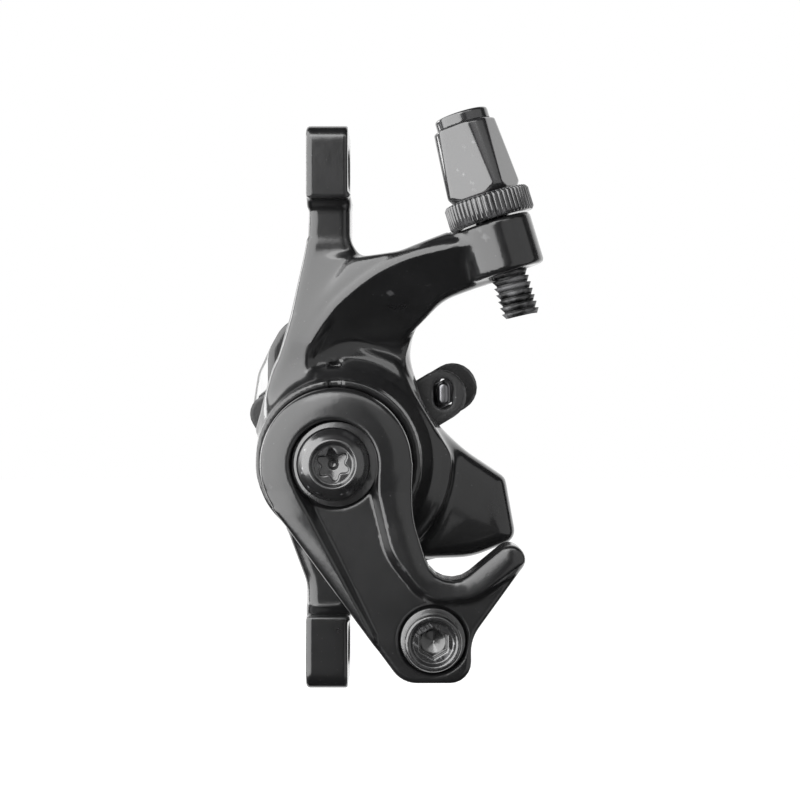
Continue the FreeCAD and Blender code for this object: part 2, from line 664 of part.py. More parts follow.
# Leaf spring: two wings behind the rotor's edge, folded over between the tabs
def padSpring():
    body = newBody("pad_spring", padFrame)
    thick = s.strip_thick
    near = nearPlate - s.face_gap
    far = farPlate + s.face_gap
    low = s.plate_top - 2.6
    wingTop = s.plate_top - 0.4
    fold = s.plate_top + 3.8
    wide = s.plate_half - 4
    slab(body, "near_wing", near - thick, near, lambda k: outline(k, [
        (low, -wide, 0.8), (wingTop, -wide, 0.8), (wingTop, wide, 0.8), (low, wide, 0.8)]))
    slab(body, "far_wing", far, far + thick, lambda k: outline(k, [
        (low, -wide, 0.8), (wingTop, -wide, 0.8), (wingTop, wide, 0.8), (low, wide, 0.8)]))
    sketch = newSketch(body, "fold_sketch", "XZ_Plane")
    outline(sketch, [
        (low, near), (low, near - thick), (fold - thick, near - thick, 1.2), (fold - thick, far + thick, 1.2),
        (low, far + thick), (low, far), (fold, far, 1.6), (fold, near, 1.6)])
    pad = body.newObject("PartDesign::Pad", "fold_pad")
    pad.Profile = sketch
    drive(pad, "Length", 5.0)
    pad.Midplane = True
    return body


def padPlunger():
    body = newBody("pad_plunger", padFrame)
    slab(body, "foot_pad", footBack, farBack, lambda k: flatSided(k, s.foot_radius, s.foot_flat))
    slab(body, "stem_pad", -s.jaw_far, footBack, lambda k: circle(k, 0, 0, s.stem_radius))
    return body


def adjusterKnob():
    body = newBody("adjuster_knob", padFrame)
    front = wallOutside - s.face_gap
    back = front - s.knob_thick
    hub = s.knob_hub_radius
    bore = s.stem_radius + s.run_gap
    inner = clipFront + s.lip_thick
    turned(body, "knob_turn", [
        (bore, inner), (hub, inner), (hub, clipFront), (hub - 0.8, clipFront), (hub - 0.8, clipBack),
        (hub, clipBack), (hub, front), (s.knob_radius, front), (s.knob_radius, back), (2.5, back),
        (2.5, -s.jaw_far - 0.6), (bore, -s.jaw_far - 0.6)])
    grip = cut(body, "knob_grip", back, front, lambda k: circle(k, s.knob_radius + 1.4, 0, 2.0))
    around(body, grip, "knob_grips", 12)
    return body


def knobRetainer():
    body = newBody("knob_retainer", padFrame)
    inner = s.knob_hub_radius - 0.75
    turned(body, "clip_turn", ringCorners(inner, s.knob_hub_radius + 1.3, clipBack, clipFront))
    cut(body, "clip_gap", clipBack, clipFront,
        lambda k: outline(k, [(2, -1.3), (9, -1.3), (9, 1.3), (2, 1.3)]))
    return body


# Point of the return spring's coil, and its direction there, at an angle past the coil's start
def coilPoint(angle):
    turn = math.radians(coilStartAngle + angle)
    radius = s.coil_radius.value
    return Vector(radius * math.cos(turn), radius * math.sin(turn),
                  s.coil_start.value + s.coil_pitch.value * angle / 360.0)


def coilWay(angle):
    turn = math.radians(coilStartAngle + angle)
    rise = s.coil_pitch.value / (2 * math.pi * s.coil_radius.value)
    return Vector(-math.sin(turn), math.cos(turn), rise).normalize()


# Bend from one direction into another at right angles or nearly so: its middle and its end
def bendPoints(start, way, target, radius):
    side = (target - way * target.dot(way)).normalize()
    turn = way.getAngle(target)
    points = []
    for part in (turn / 2, turn):
        points.append(start + (way * math.sin(part) + side * (1 - math.cos(part))) * radius)
    return points


# The spring's lower leg lies in the rim's notch, at this angle about the piston axis
notchAngle = 92.0
coilTurn = 360.0 * 1.75
legBend = 1.4
coilStartAngle = notchAngle + math.degrees(math.asin(legBend / s.coil_radius.value))


def actuatorArm():
    hub = s.hub_radius
    blank = newBody("arm_blank", pistonFrame)
    slab(blank, "hub_pad", s.arm_back, s.arm_front, lambda k: circle(k, 0, 0, hub))
    blade = newBody("blade_blank", pistonFrame)
    slab(blade, "blade_pad", s.arm_back + 0.5, s.arm_front, lambda k: outline(k, [
        (hub * -0.81, hub * -0.59), (9.7, s.anchor_z - 6.4, 4.3), (19.9, s.anchor_z - 6.4, 3.9),
        (19.8, -25.6, 6.0), (28.38, -13.78, 2.18), (25.66, -11.04, 2.18), (14.93, -19.9, 5.8),
        (hub + 0.02, -8.0, 15.0), (hub, 0)]))
    both = fused("arm_both", [blank, blade])

    # Dished face between the raised bands, its floor rising to the lower end
    tilt = math.degrees(math.atan2(s.band_depth.value - 0.3, 24.0))
    dishFrame = pistonFrame * Placement(Vector(0, 0, (s.arm_front - s.band_depth).value),
                                        Rotation(Vector(1, 0, 0), -tilt))
    dish = newBody("dish_tool", dishFrame)
    slab(dish, "dish_pad", 0, 12, lambda k: outline(k, [
        (-6.2, 0.5), (-6.2, -3.3, 6.0), (0.6, -16.0, 20.0), (5.4, -25.2), (6.4, -40.0),
        (34.0, -40.0), (34.0, -10.0), (26.0, -15.2), (20.5, -19.3, 6.0), (13.5, -20.0, 6.0), (8.3, -13.2, 10.0),
        (6.3, -4.0, 8.0), (6.3, 0.5)]))
    bore = newBody("drive_hole_tool", pistonFrame)
    slab(bore, "drive_hole_pad", s.arm_back - 1, s.well_floor + 1,
         lambda k: outline(k, polygonCorners(s.drive_flats, 6, 30)))
    x, z = s.anchor_x, s.anchor_z
    leg = bendPoints(coilPoint(coilTurn), coilWay(coilTurn), Vector(0, 0, 1), legBend)[1]
    tools = [
        dish, bore,
        rod("well_tool", pistonFrame, s.well_radius, s.well_floor, s.arm_front + 5),
        rod("anchor_well_tool", pistonFrame, s.anchor_well, s.anchor_floor, s.arm_front + 5, x, z),
        rod("anchor_hole_tool", pistonFrame, s.anchor_shank, s.arm_back - 1, s.arm_front, x, z),
        rod("spring_hole_tool", pistonFrame, s.wire_radius + 0.15, s.arm_back - 1, s.arm_back + 2.2,
            leg.x, leg.y),
    ]
    return cutAway("actuator_arm", both, tools)


# Six-lobe button head bolt that holds the arm on the spindle
def armBolt():
    body = newBody("arm_bolt", pistonFrame)
    seat = s.well_floor + s.arm_washer_thick
    top = seat + s.head_height
    turned(body, "bolt_turn", [
        (0, s.arm_back - 5), (s.bolt_radius - 0.1, s.arm_back - 5), (s.bolt_radius - 0.1, seat),
        (s.head_radius, seat), (s.head_radius, seat + 0.8), (s.head_radius - 1.2, top - 0.8, 1.5), (2.8, top),
        (0, top)])
    cut(body, "socket_core", top - 2.0, top, lambda k: circle(k, 0, 0, 2.2))
    lobe = cut(body, "socket_lobe", top - 2.0, top, lambda k: circle(k, 2.15, 0, 0.75))
    around(body, lobe, "socket_lobes", 6)
    return body


def armWasher():
    body = newBody("arm_washer", pistonFrame)
    turned(body, "arm_washer_turn", ringCorners(s.bolt_radius, s.well_radius - 0.15, s.well_floor,
                                                s.well_floor + s.arm_washer_thick))
    return body


def clampPlate():
    body = newBody("cable_clamp_plate", boltFrame)
    turned(body, "clamp_turn", ringCorners(s.anchor_shank, s.clamp_radius, s.anchor_floor,
                                           s.anchor_floor + s.clamp_thick))
    return body


def anchorBolt():
    body = newBody("cable_anchor_bolt", boltFrame)
    seat = s.anchor_floor + s.clamp_thick
    top = seat + s.anchor_head_height
    turned(body, "anchor_turn", [
        (0, s.arm_back - 0.2), (s.anchor_shank - 0.05, s.arm_back - 0.2), (s.anchor_shank - 0.05, seat),
        (s.anchor_head, seat), (s.anchor_head, top, 0.6), (3.2, top), (2.6, top - 0.5), (0, top - 0.5)])
    cut(body, "anchor_socket", top - 2.6, top, lambda k: outline(k, polygonCorners(s.hex_socket, 6, 30)))
    return body


# Two tangent arcs between two points with given directions
def biarc(start, startWay, end, endWay):
    gap = end - start
    ways = startWay + endWay
    a = 2 * (1 - startWay.dot(endWay))
    b = 2 * gap.dot(ways)
    c = -gap.dot(gap)
    reach = -c / b if abs(a) < 1e-9 else (-b + math.sqrt(b * b - 4 * a * c)) / (2 * a)
    # The joint lies midway between the two tangents' ends
    joint = (start + end + (startWay - endWay) * reach) * 0.5
    arcs = []
    for first, way, last in ((start, startWay, joint), (end, endWay * -1, joint)):
        chord = last - first
        bend = chord.Length ** 2 / (2 * chord.dot(way))
        peak = first + way * bend
        top = (first + last) * 0.5
        lean = peak - top
        radius = chord.Length * bend / (2 * lean.Length)
        centre = top - lean.normalize() * math.sqrt(max(radius ** 2 - (chord.Length / 2) ** 2, 0.0))
        middle = centre + (top - centre).normalize() * radius
        points = (first, middle, last)
        arcs.append(points if way == startWay else points[::-1])
    return [Part.Arc(*points).toShape() for points in arcs]


def returnSpring():
    edges = []
    steps = 4
    for k in range(steps):
        first = coilTurn * k / steps
        last = coilTurn * (k + 1) / steps
        edges += biarc(coilPoint(first), coilWay(first), coilPoint(last), coilWay(last))

    # One leg turns out into the rim's notch, the other turns up into the arm
    notch = math.radians(coilStartAngle)
    outward = Vector(math.cos(notch), math.sin(notch), 0)
    middle, legStart = bendPoints(coilPoint(0), coilWay(0) * -1, outward, legBend)
    tip = legStart + outward * (s.recess_radius.value - s.coil_radius.value - legBend + 0.2)
    legOne = [Part.LineSegment(tip, legStart).toShape(), Part.Arc(legStart, middle, coilPoint(0)).toShape()]
    upMiddle, upStart = bendPoints(coilPoint(coilTurn), coilWay(coilTurn), Vector(0, 0, 1), legBend)
    upTip = Vector(upStart.x, upStart.y, s.arm_back.value + 1.5)
    legTwo = [Part.Arc(coilPoint(coilTurn), upMiddle, upStart).toShape(),
              Part.LineSegment(upStart, upTip).toShape()]
    wire = Part.Wire(legOne + edges + legTwo)
    section = Part.Circle(tip, legStart - tip, s.wire_radius.value).toShape()
    item = doc.addObject("Part::Feature", "return_spring")
    item.Shape = wire.makePipeShell([Part.Wire([section])], True, False)
    item.Placement = pistonFrame
    print("return spring: tube length %.1f, gap between turns %.2f"
          % (wire.Length, s.coil_pitch.value - 2 * s.wire_radius.value))
    return item


# Tapered six-sided barrel with its hollow threaded stud
def barrelAdjuster():
    body = newBody("barrel_adjuster", barrelFrame)
    low = newSketch(body, "cone_low_sketch", "XY_Plane", s.cone_low)
    outline(low, polygonCorners(s.cone_low_radius * 1.9, 6, 0, 2.0))
    high = newSketch(body, "cone_high_sketch", "XY_Plane", s.cone_top)
    outline(high, polygonCorners(s.cone_top_radius * 1.9, 6, 0, 2.0))
    cone = body.newObject("PartDesign::AdditiveLoft", "cone_loft")
    cone.Profile = low
    cone.Sections = [high]
    studEnd = -s.boss_height - s.stud_below
    slab(body, "stud_pad", studEnd, s.cone_low, lambda k: circle(k, 0, 0, s.stud_radius))
    seatLow = s.cone_top + s.collar_height - s.seat_deep - 1.5
    cut(body, "seat_bore", seatLow, s.cone_top, lambda k: circle(k, 0, 0, s.seat_radius + 0.7 + s.run_gap))
    cut(body, "cable_bore", studEnd, seatLow, lambda k: circle(k, 0, 0, s.cable_radius + 0.1))
    return body


# Cup at the barrel's top that takes the end of the cable housing
def housingSeat():
    body = newBody("housing_seat", barrelFrame)
    top = s.cone_top + s.collar_height
    floor = top - s.seat_deep
    outer = s.seat_radius + 0.7
    turned(body, "seat_turn", [
        (s.cable_radius, floor - 1.4), (outer, floor - 1.4), (outer, s.cone_top + 0.05),
        (s.collar_radius, s.cone_top + 0.05), (s.collar_radius, top, 0.5), (s.seat_radius, top),
        (s.seat_radius, floor), (s.cable_radius, floor)])
    return body


def lockRing():
    body = newBody("lock_ring", barrelFrame)
    turned(body, "ring_turn", [
        (s.stud_radius + s.face_gap, 0.1), (s.ring_radius - 0.4, 0.1), (s.ring_radius, 0.5),
        (s.ring_radius, s.ring_height - 0.3), (s.ring_radius - 0.4, s.ring_height + 0.1),
        (s.stud_radius + s.face_gap, s.ring_height + 0.1)])
    outer = s.ring_radius
    groove = cut(body, "ring_groove", 0.1, s.ring_height + 0.1, lambda k: outline(k, [
        (outer - 0.35, 0), (outer + 0.3, -0.45), (outer + 0.3, 0.45)]))
    around(body, groove, "ring_grooves", 24)
    return body


def makePieces():
    pieces = [
        caliperBody(), spindleBush(), thrustWasher(), dustSeal(), guidePin(), rampSpindle(), rampBalls(),
        ballCage(), piston(), padSpring(), padPlunger(), adjusterKnob(), knobRetainer(), actuatorArm(),
        armBolt(), armWasher(), clampPlate(), anchorBolt(), returnSpring(), barrelAdjuster(), housingSeat(),
        lockRing(),
    ]
    pieces.append(padPlate("near_pad_plate", nearPlate, pistonFace, asSize(0), s.tab_tip))
    pieces.append(padPlate("far_pad_plate", farBack, farPlate, s.far_tab_shift, s.tab_tip + s.far_tab_more))
    pieces.append(frictionBlock("near_friction_block", nearFriction, nearPlate))
    pieces.append(frictionBlock("far_friction_block", farPlate, farFriction))
    return pieces


def checkAndExport(pieces):
    doc.recompute()
    faults = []
    for item in doc.Objects:
        if "Invalid" in item.State or "Error" in item.State:
            faults.append("%s is %s" % (item.Name, item.State))
    for piece in pieces:
        piece.Label = piece.Name
        shape = piece.Shape
        if shape.isNull() or not shape.isValid() or not shape.Solids:
            faults.append("%s has no good shape" % piece.Name)
    if faults:
        raise RuntimeError("; ".join(faults))
    os.makedirs("parts", exist_ok=True)
    for piece in pieces:
        piece.Shape.exportStep("parts/%s.step" % piece.Label)
        print("%-20s solids %d volume %9.2f" % (piece.Label, len(piece.Shape.Solids), piece.Shape.Volume))


checkAndExport(makePieces())
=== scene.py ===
import math
import bmesh
import bpy
import numpy as np
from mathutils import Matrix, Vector


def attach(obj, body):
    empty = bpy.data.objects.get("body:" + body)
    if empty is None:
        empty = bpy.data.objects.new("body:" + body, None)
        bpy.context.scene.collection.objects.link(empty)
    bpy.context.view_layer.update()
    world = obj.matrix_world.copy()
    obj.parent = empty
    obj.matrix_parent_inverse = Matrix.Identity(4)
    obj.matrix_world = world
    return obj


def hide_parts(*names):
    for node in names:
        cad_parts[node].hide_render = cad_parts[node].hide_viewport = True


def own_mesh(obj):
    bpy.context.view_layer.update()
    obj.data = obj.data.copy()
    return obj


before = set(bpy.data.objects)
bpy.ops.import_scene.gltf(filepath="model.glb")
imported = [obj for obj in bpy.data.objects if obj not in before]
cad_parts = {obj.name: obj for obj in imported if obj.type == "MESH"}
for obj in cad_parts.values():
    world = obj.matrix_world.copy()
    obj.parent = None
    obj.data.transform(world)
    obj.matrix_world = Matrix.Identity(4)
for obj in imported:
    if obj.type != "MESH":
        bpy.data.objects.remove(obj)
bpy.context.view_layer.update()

mm = 0.001
pistonX, pistonZ = 4.8, -8.3            # piston axis, in mm
padTurn = math.radians(31)              # direction of the pads' tabs
boss = {"x": 28.0, "y": -12.5, "z": 27.4, "tilt": math.radians(16.9)}
barrelUp = np.array([-math.sin(boss["tilt"]), 0, math.cos(boss["tilt"])])
barrelSide = np.array([math.cos(boss["tilt"]), 0, math.sin(boss["tilt"])])
bossTop = np.array([boss["x"], boss["y"], boss["z"]])


# Distance fields: every shape is a function that is negative inside

def smoothMin(a, b, soft):
    h = np.clip(0.5 + 0.5 * (b - a) / soft, 0, 1)
    return b + (a - b) * h - soft * h * (1 - h)


def smoothMax(a, b, soft):
    return -smoothMin(-a, -b, soft)


def hardMax(*fields):
    out = fields[0]
    for field in fields[1:]:
        out = np.maximum(out, field)
    return out


def roundedOutline(corners, steps=6):
    points = []
    count = len(corners)
    for i, corner in enumerate(corners):
        here = np.array(corner[:2], float)
        if len(corner) < 3:
            points.append(here)
            continue
        back = np.array(corners[i - 1][:2], float) - here
        on = np.array(corners[(i + 1) % count][:2], float) - here
        backLong, onLong = np.linalg.norm(back), np.linalg.norm(on)
        back, on = back / backLong, on / onLong
        half = math.acos(np.clip(back @ on, -1, 1)) / 2
        reach = min(corner[2] / math.tan(half), backLong * 0.49, onLong * 0.49)
        radius = reach * math.tan(half)
        middle = here + (back + on) / np.linalg.norm(back + on) * (radius / math.sin(half))
        start, end = here + back * reach, here + on * reach
        first = math.atan2(*(start - middle)[::-1])
        sweep = (math.atan2(*(end - middle)[::-1]) - first + math.pi) % (2 * math.pi) - math.pi
        for k in range(steps + 1):
            turn = first + sweep * k / steps
            points.append(middle + radius * np.array([math.cos(turn), math.sin(turn)]))
    return np.array(points)


def outlineField(a, b, outline):
    best = np.full(a.shape, 1e9)
    inside = np.zeros(a.shape, bool)
    for (x0, y0), (x1, y1) in zip(outline, np.roll(outline, -1, 0)):
        ex, ey = x1 - x0, y1 - y0
        wx, wy = a - x0, b - y0
        t = np.clip((wx * ex + wy * ey) / (ex * ex + ey * ey + 1e-12), 0, 1)
        best = np.minimum(best, (wx - ex * t) ** 2 + (wy - ey * t) ** 2)
        crosses = (y0 <= b) != (y1 <= b)
        if ey:
            inside ^= crosses & (a < x0 + (b - y0) * ex / ey)
    return np.where(inside, -1, 1) * np.sqrt(best)


def slabField(flat, height, low, high, edge):
    tall = np.abs(height - (low + high) / 2) - (high - low) / 2
    a, b = flat + edge, tall + edge
    return np.minimum(np.maximum(a, b), 0) + np.hypot(np.maximum(a, 0), np.maximum(b, 0)) - edge


def boxField(a, b, c, low, high, edge=0.0):
    d = [np.abs(q - (l + h) / 2) - (h - l) / 2 + edge for q, l, h in zip((a, b, c), low, high)]
    out = np.sqrt(sum(np.maximum(q, 0) ** 2 for q in d))
    return out + np.minimum(hardMax(*d), 0) - edge


def hexagonField(a, b, half):
    return hardMax(*[a * math.cos(t) + b * math.sin(t) - half for t in np.arange(6) * math.pi / 3])


# Skin of a field: a net of quads over the cells that the surface crosses, pulled onto it

def fieldValues(field, points, part=200000):
    return np.concatenate([field(points[i:i + part]) for i in range(0, len(points), part)])


def fieldSkin(field, low, high, step, pulls=3):
    low, high = np.array(low, float), np.array(high, float)
    blocks = np.ceil((high - low) / (step * 4)).astype(int)
    size = blocks * 4 + 1
    coarse = np.stack(np.meshgrid(*[low[k] + (np.arange(blocks[k]) + 0.5) * step * 4 for k in range(3)],
                                  indexing="ij"), -1).reshape(-1, 3)
    rough = fieldValues(field, coarse).reshape(blocks)
    near = np.abs(rough) < step * 4 * 1.35
    values = np.repeat(np.repeat(np.repeat(rough, 4, 0), 4, 1), 4, 2)
    values = np.pad(values, ((0, 1), (0, 1), (0, 1)), mode="edge")
    wanted = np.zeros(size, bool)
    big = np.repeat(np.repeat(np.repeat(near, 4, 0), 4, 1), 4, 2)
    for i in (0, 1):
        for j in (0, 1):
            for k in (0, 1):
                wanted[i:size[0] - 1 + i, j:size[1] - 1 + j, k:size[2] - 1 + k] |= big
    index = np.argwhere(wanted)
    values[wanted] = fieldValues(field, low + index * step)
    inner = values < 0
    cells = size - 1
    total = np.zeros(tuple(cells) + (3,))
    hits = np.zeros(cells)
    corners = [(i, j, k) for i in (0, 1) for j in (0, 1) for k in (0, 1)]

    def at(array, shift):
        return array[shift[0]:shift[0] + cells[0], shift[1]:shift[1] + cells[1], shift[2]:shift[2] + cells[2]]

    for a in corners:
        for axis in range(3):
            if a[axis]:
                continue
            b = tuple(v + (1 if n == axis else 0) for n, v in enumerate(a))
            va, vb = at(values, a), at(values, b)
            cut = (va < 0) != (vb < 0)
            t = np.where(cut, va / np.where(cut, va - vb, 1), 0)
            for n in range(3):
                total[..., n] += np.where(cut, a[n] + (t if n == axis else 0), 0)
            hits += cut
    used = hits > 0
    number = np.full(tuple(cells), -1)
    number[used] = np.arange(used.sum())
    points = low + (np.argwhere(used) + total[used] / hits[used][:, None]) * step
    quads = []
    for axis in range(3):
        u, v = (axis + 1) % 3, (axis + 2) % 3
        here = [slice(1, cells[n]) for n in range(3)]
        here[axis] = slice(0, cells[axis])
        there = list(here)
        there[axis] = slice(1, cells[axis] + 1)
        a, b = inner[tuple(here)], inner[tuple(there)]
        where = np.argwhere(a != b)
        flip = a[a != b]
        where = where + np.array([0 if n == axis else 1 for n in range(3)])
        ring = []
        for du, dv in ((0, 0), (1, 0), (1, 1), (0, 1)):
            shift = np.zeros(3, int)
            shift[u], shift[v] = -du, -dv
            cell = where + shift
            ring.append(number[cell[:, 0], cell[:, 1], cell[:, 2]])
        ring = np.stack(ring, 1)
        ring[~flip] = ring[~flip][:, ::-1]
        quads.append(ring)
    for _ in range(pulls):
        d = fieldValues(field, points)
        grad = np.stack([fieldValues(field, points + off) - fieldValues(field, points - off)
                         for off in np.eye(3) * 0.02], 1) / 0.04
        long = np.maximum((grad ** 2).sum(1), 0.2)
        move = -(d / long)[:, None] * grad
        reach = np.linalg.norm(move, axis=1, keepdims=True)
        points = points + move * np.minimum(1, step * 0.5 / np.maximum(reach, 1e-9))
    return points, np.concatenate(quads)


# Objects, materials on them, and who moves with what

def meshPiece(name, points, faces, material, scale=mm):
    mesh = bpy.data.meshes.new(name)
    mesh.from_pydata((np.asarray(points) * scale).tolist(), [], [list(map(int, f)) for f in faces])
    mesh.validate()
    mesh.materials.append(material)
    mesh.polygons.foreach_set("use_smooth", [True] * len(mesh.polygons))
    piece = bpy.data.objects.new(name, mesh)
    bpy.context.scene.collection.objects.link(piece)
    return piece


def fieldPiece(name, field, low, high, step, material):
    points, faces = fieldSkin(field, low, high, step)
    print(name, len(faces) * 2, "triangles")
    return meshPiece(name, points, faces, material)


def barrelPlace(points):
    points = np.asarray(points, float)
    return (bossTop + points[:, :1] * barrelSide + points[:, 1:2] * np.array([0, 1.0, 0])
            + points[:, 2:3] * barrelUp)


def barrelCoords(p):
    d = p - bossTop
    return d @ barrelSide, d[:, 1], d @ barrelUp


def pistonCoords(p):
    return p[:, 0] - pistonX, p[:, 2] - pistonZ, -p[:, 1]


def padCoords(p):
    a, b, c = pistonCoords(p)
    turn, rise = math.cos(padTurn), math.sin(padTurn)
    return a * turn + b * rise, b * turn - a * rise, c


def belongs(piece, body, slot, *nodes):
    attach(piece, body)
    if nodes:
        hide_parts(*nodes)


# Shader groups

def groupTree(name, inputs, outputs):
    tree = bpy.data.node_groups.new(name, "ShaderNodeTree")
    for label, value in inputs.items():
        socket = tree.interface.new_socket(label, in_out="INPUT", socket_type="NodeSocketFloat")
        socket.default_value = value
    for label in outputs:
        tree.interface.new_socket(label, in_out="OUTPUT", socket_type="NodeSocketFloat")
    return tree, tree.nodes.new("NodeGroupInput"), tree.nodes.new("NodeGroupOutput")


def addNode(tree, kind, links=None, **values):
    node = tree.nodes.new(kind)
    for key, value in values.items():
        setattr(node, key, value)
    for socket, source in (links or {}).items():
        if isinstance(source, (int, float, tuple)):
            node.inputs[socket].default_value = source
        else:
            tree.links.new(source, node.inputs[socket])
    return node


def mathNode(tree, operation, a, b=0.0, c=None):
    links = {0: a, 1: b}
    if c is not None:
        links[2] = c
    return addNode(tree, "ShaderNodeMath", links, operation=operation).outputs[0]


def mapRange(tree, value, low, high, toLow=0.0, toHigh=1.0):
    return addNode(tree, "ShaderNodeMapRange", {"Value": value, "From Min": low, "From Max": high,
                                                "To Min": toLow, "To Max": toHigh}).outputs[0]


def noiseNode(tree, place, scale, detail, rough=0.5):
    return addNode(tree, "ShaderNodeTexNoise", {"Vector": place, "Scale": scale, "Detail": detail,
                                                "Roughness": rough}).outputs[0]


def mixNode(tree, factor, base, other):
    return addNode(tree, "ShaderNodeMix", {"Factor": factor, 6: base, 7: other}, data_type="RGBA").outputs[2]


def castSkinGroup():
    tree, ins, outs = groupTree("castSkin", {"Ripple Size": 700, "Ripple": 0.4, "Speck Size": 1500,
                                             "Specks": 0.3}, ("Height", "Dust", "Patch"))
    i = ins.outputs
    place = addNode(tree, "ShaderNodeTexCoord").outputs["Object"]
    ripple = noiseNode(tree, place, i["Ripple Size"], 2.0)
    grain = noiseNode(tree, place, i["Speck Size"], 1.0)
    speck = addNode(tree, "ShaderNodeTexVoronoi", {"Vector": place, "Scale": i["Speck Size"]}, feature="F1")
    pick = mapRange(tree, speck.outputs["Distance"], 0.22, 0.1)
    rare = mapRange(tree, grain, 0.6, 0.7)
    dust = mathNode(tree, "MULTIPLY", mathNode(tree, "MULTIPLY", pick, rare), i["Specks"])
    patch = noiseNode(tree, place, 160.0, 3.0, 0.6)
    height = mathNode(tree, "ADD", mathNode(tree, "MULTIPLY", ripple, i["Ripple"]),
                      mathNode(tree, "MULTIPLY", dust, 0.5))
    for label, value in (("Height", height), ("Dust", dust), ("Patch", patch)):
        tree.links.new(value, outs.inputs[label])
    return tree


def edgeWearGroup():
    tree, ins, outs = groupTree("edgeWear", {"Amount": 0.4, "Sharpness": 0.53}, ("Wear",))
    i = ins.outputs
    point = addNode(tree, "ShaderNodeNewGeometry").outputs["Pointiness"]
    place = addNode(tree, "ShaderNodeTexCoord").outputs["Object"]
    noise = noiseNode(tree, place, 420.0, 4.0)
    edge = mapRange(tree, point, i["Sharpness"], mathNode(tree, "ADD", i["Sharpness"], 0.09))
    broken = mapRange(tree, noise, 0.42, 0.62)
    wear = mathNode(tree, "MULTIPLY", mathNode(tree, "MULTIPLY", edge, broken), i["Amount"])
    tree.links.new(wear, outs.inputs["Wear"])
    return tree


castSkin = castSkinGroup()
edgeWear = edgeWearGroup()
dustColour = (0.35, 0.35, 0.36, 1)      # dust and worn edges


def finish(name, colour, rough, metal=0.0, wear=0.0, coat=0.0, coatRough=0.08, specular=0.5,
           bump=0.0, rippleSize=700, specks=0.3, patchRough=0.1, patchShade=0.15):
    material = bpy.data.materials.new(name)
    material.use_nodes = True
    tree = material.node_tree
    shader = tree.nodes["Principled BSDF"]
    skin = addNode(tree, "ShaderNodeGroup", node_tree=castSkin)
    skin.inputs["Ripple Size"].default_value = rippleSize
    skin.inputs["Specks"].default_value = specks
    shade = mapRange(tree, skin.outputs["Patch"], 0.3, 0.7, 1 - patchShade, 1 + patchShade)
    tint = addNode(tree, "ShaderNodeVectorMath", {0: colour, "Scale": shade}, operation="SCALE")
    base = mixNode(tree, skin.outputs["Dust"], tint.outputs[0], dustColour)
    if wear:
        edges = addNode(tree, "ShaderNodeGroup", node_tree=edgeWear)
        edges.inputs["Amount"].default_value = wear
        base = mixNode(tree, edges.outputs["Wear"], base, dustColour)
    tree.links.new(base, shader.inputs["Base Color"])
    roughness = mapRange(tree, skin.outputs["Patch"], 0.3, 0.7, rough * (1 - patchRough),
                         rough * (1 + patchRough))
    tree.links.new(roughness, shader.inputs["Roughness"])
    shader.inputs["Metallic"].default_value = metal
    shader.inputs["Coat Weight"].default_value = coat
    shader.inputs["Coat Roughness"].default_value = coatRough
    shader.inputs["Specular IOR Level"].default_value = specular
    if bump:
        relief = addNode(tree, "ShaderNodeBump", {"Height": skin.outputs["Height"], "Strength": bump,
                                                  "Distance": 0.0002})
        tree.links.new(relief.outputs[0], shader.inputs["Normal"])
        if coat:
            tree.links.new(relief.outputs[0], shader.inputs["Coat Normal"])
    return material


castPaint = finish("castPaint", (0.008, 0.008, 0.0084), 0.30, coat=1.0, coatRough=0.12, bump=0.3, wear=0.12,
                   rippleSize=420, specks=0.1, specular=0.4)
armPaint = finish("armPaint", (0.008, 0.008, 0.0084), 0.32, coat=1.0, coatRough=0.16, bump=0.2, wear=0.1,
                  rippleSize=900, specks=0.08, specular=0.4)
blackAlloy = finish("blackAlloy", (0.02, 0.02, 0.021), 0.22, coat=0.8, coatRough=0.06, bump=0.08,
                    wear=0.25, rippleSize=1500, specks=0.06, specular=0.9)
blackSteel = finish("blackSteel", (0.012, 0.012, 0.0125), 0.28, coat=1.0, coatRough=0.12, bump=0.15, wear=0.5,
                    rippleSize=2200, specks=0.2, specular=1.0)
threadSteel = finish("threadSteel", (0.008, 0.008, 0.0084), 0.36, bump=0.1, wear=0.3, rippleSize=2600,
                     specular=0.35)
plateSteel = finish("plateSteel", (0.016, 0.016, 0.0165), 0.5, bump=0.5, wear=0.9, rippleSize=2400, specks=0.6,
                    specular=0.6)
frictionMix = finish("frictionMix", (0.07, 0.062, 0.055), 0.85, bump=0.9, rippleSize=2600, specks=1.0,
                     patchShade=0.35, specular=0.3)
ballSteel = finish("ballSteel", (0.55, 0.55, 0.56), 0.12, metal=1.0, bump=0.02)
turnedSteel = finish("turnedSteel", (0.42, 0.42, 0.43), 0.32, metal=1.0, bump=0.15, rippleSize=3000)
bushResin = finish("bushResin", (0.55, 0.53, 0.47), 0.5, bump=0.1)
sealRubber = finish("sealRubber", (0.014, 0.014, 0.014), 0.62, bump=0.2, specular=0.35)
springSteel = finish("springSteel", (0.25, 0.25, 0.26), 0.3, metal=1.0, bump=0.1, rippleSize=3000)
knobResin = finish("knobResin", (0.016, 0.016, 0.017), 0.42, bump=0.25, wear=0.1, rippleSize=1800)
print("materials ready")

# The casting

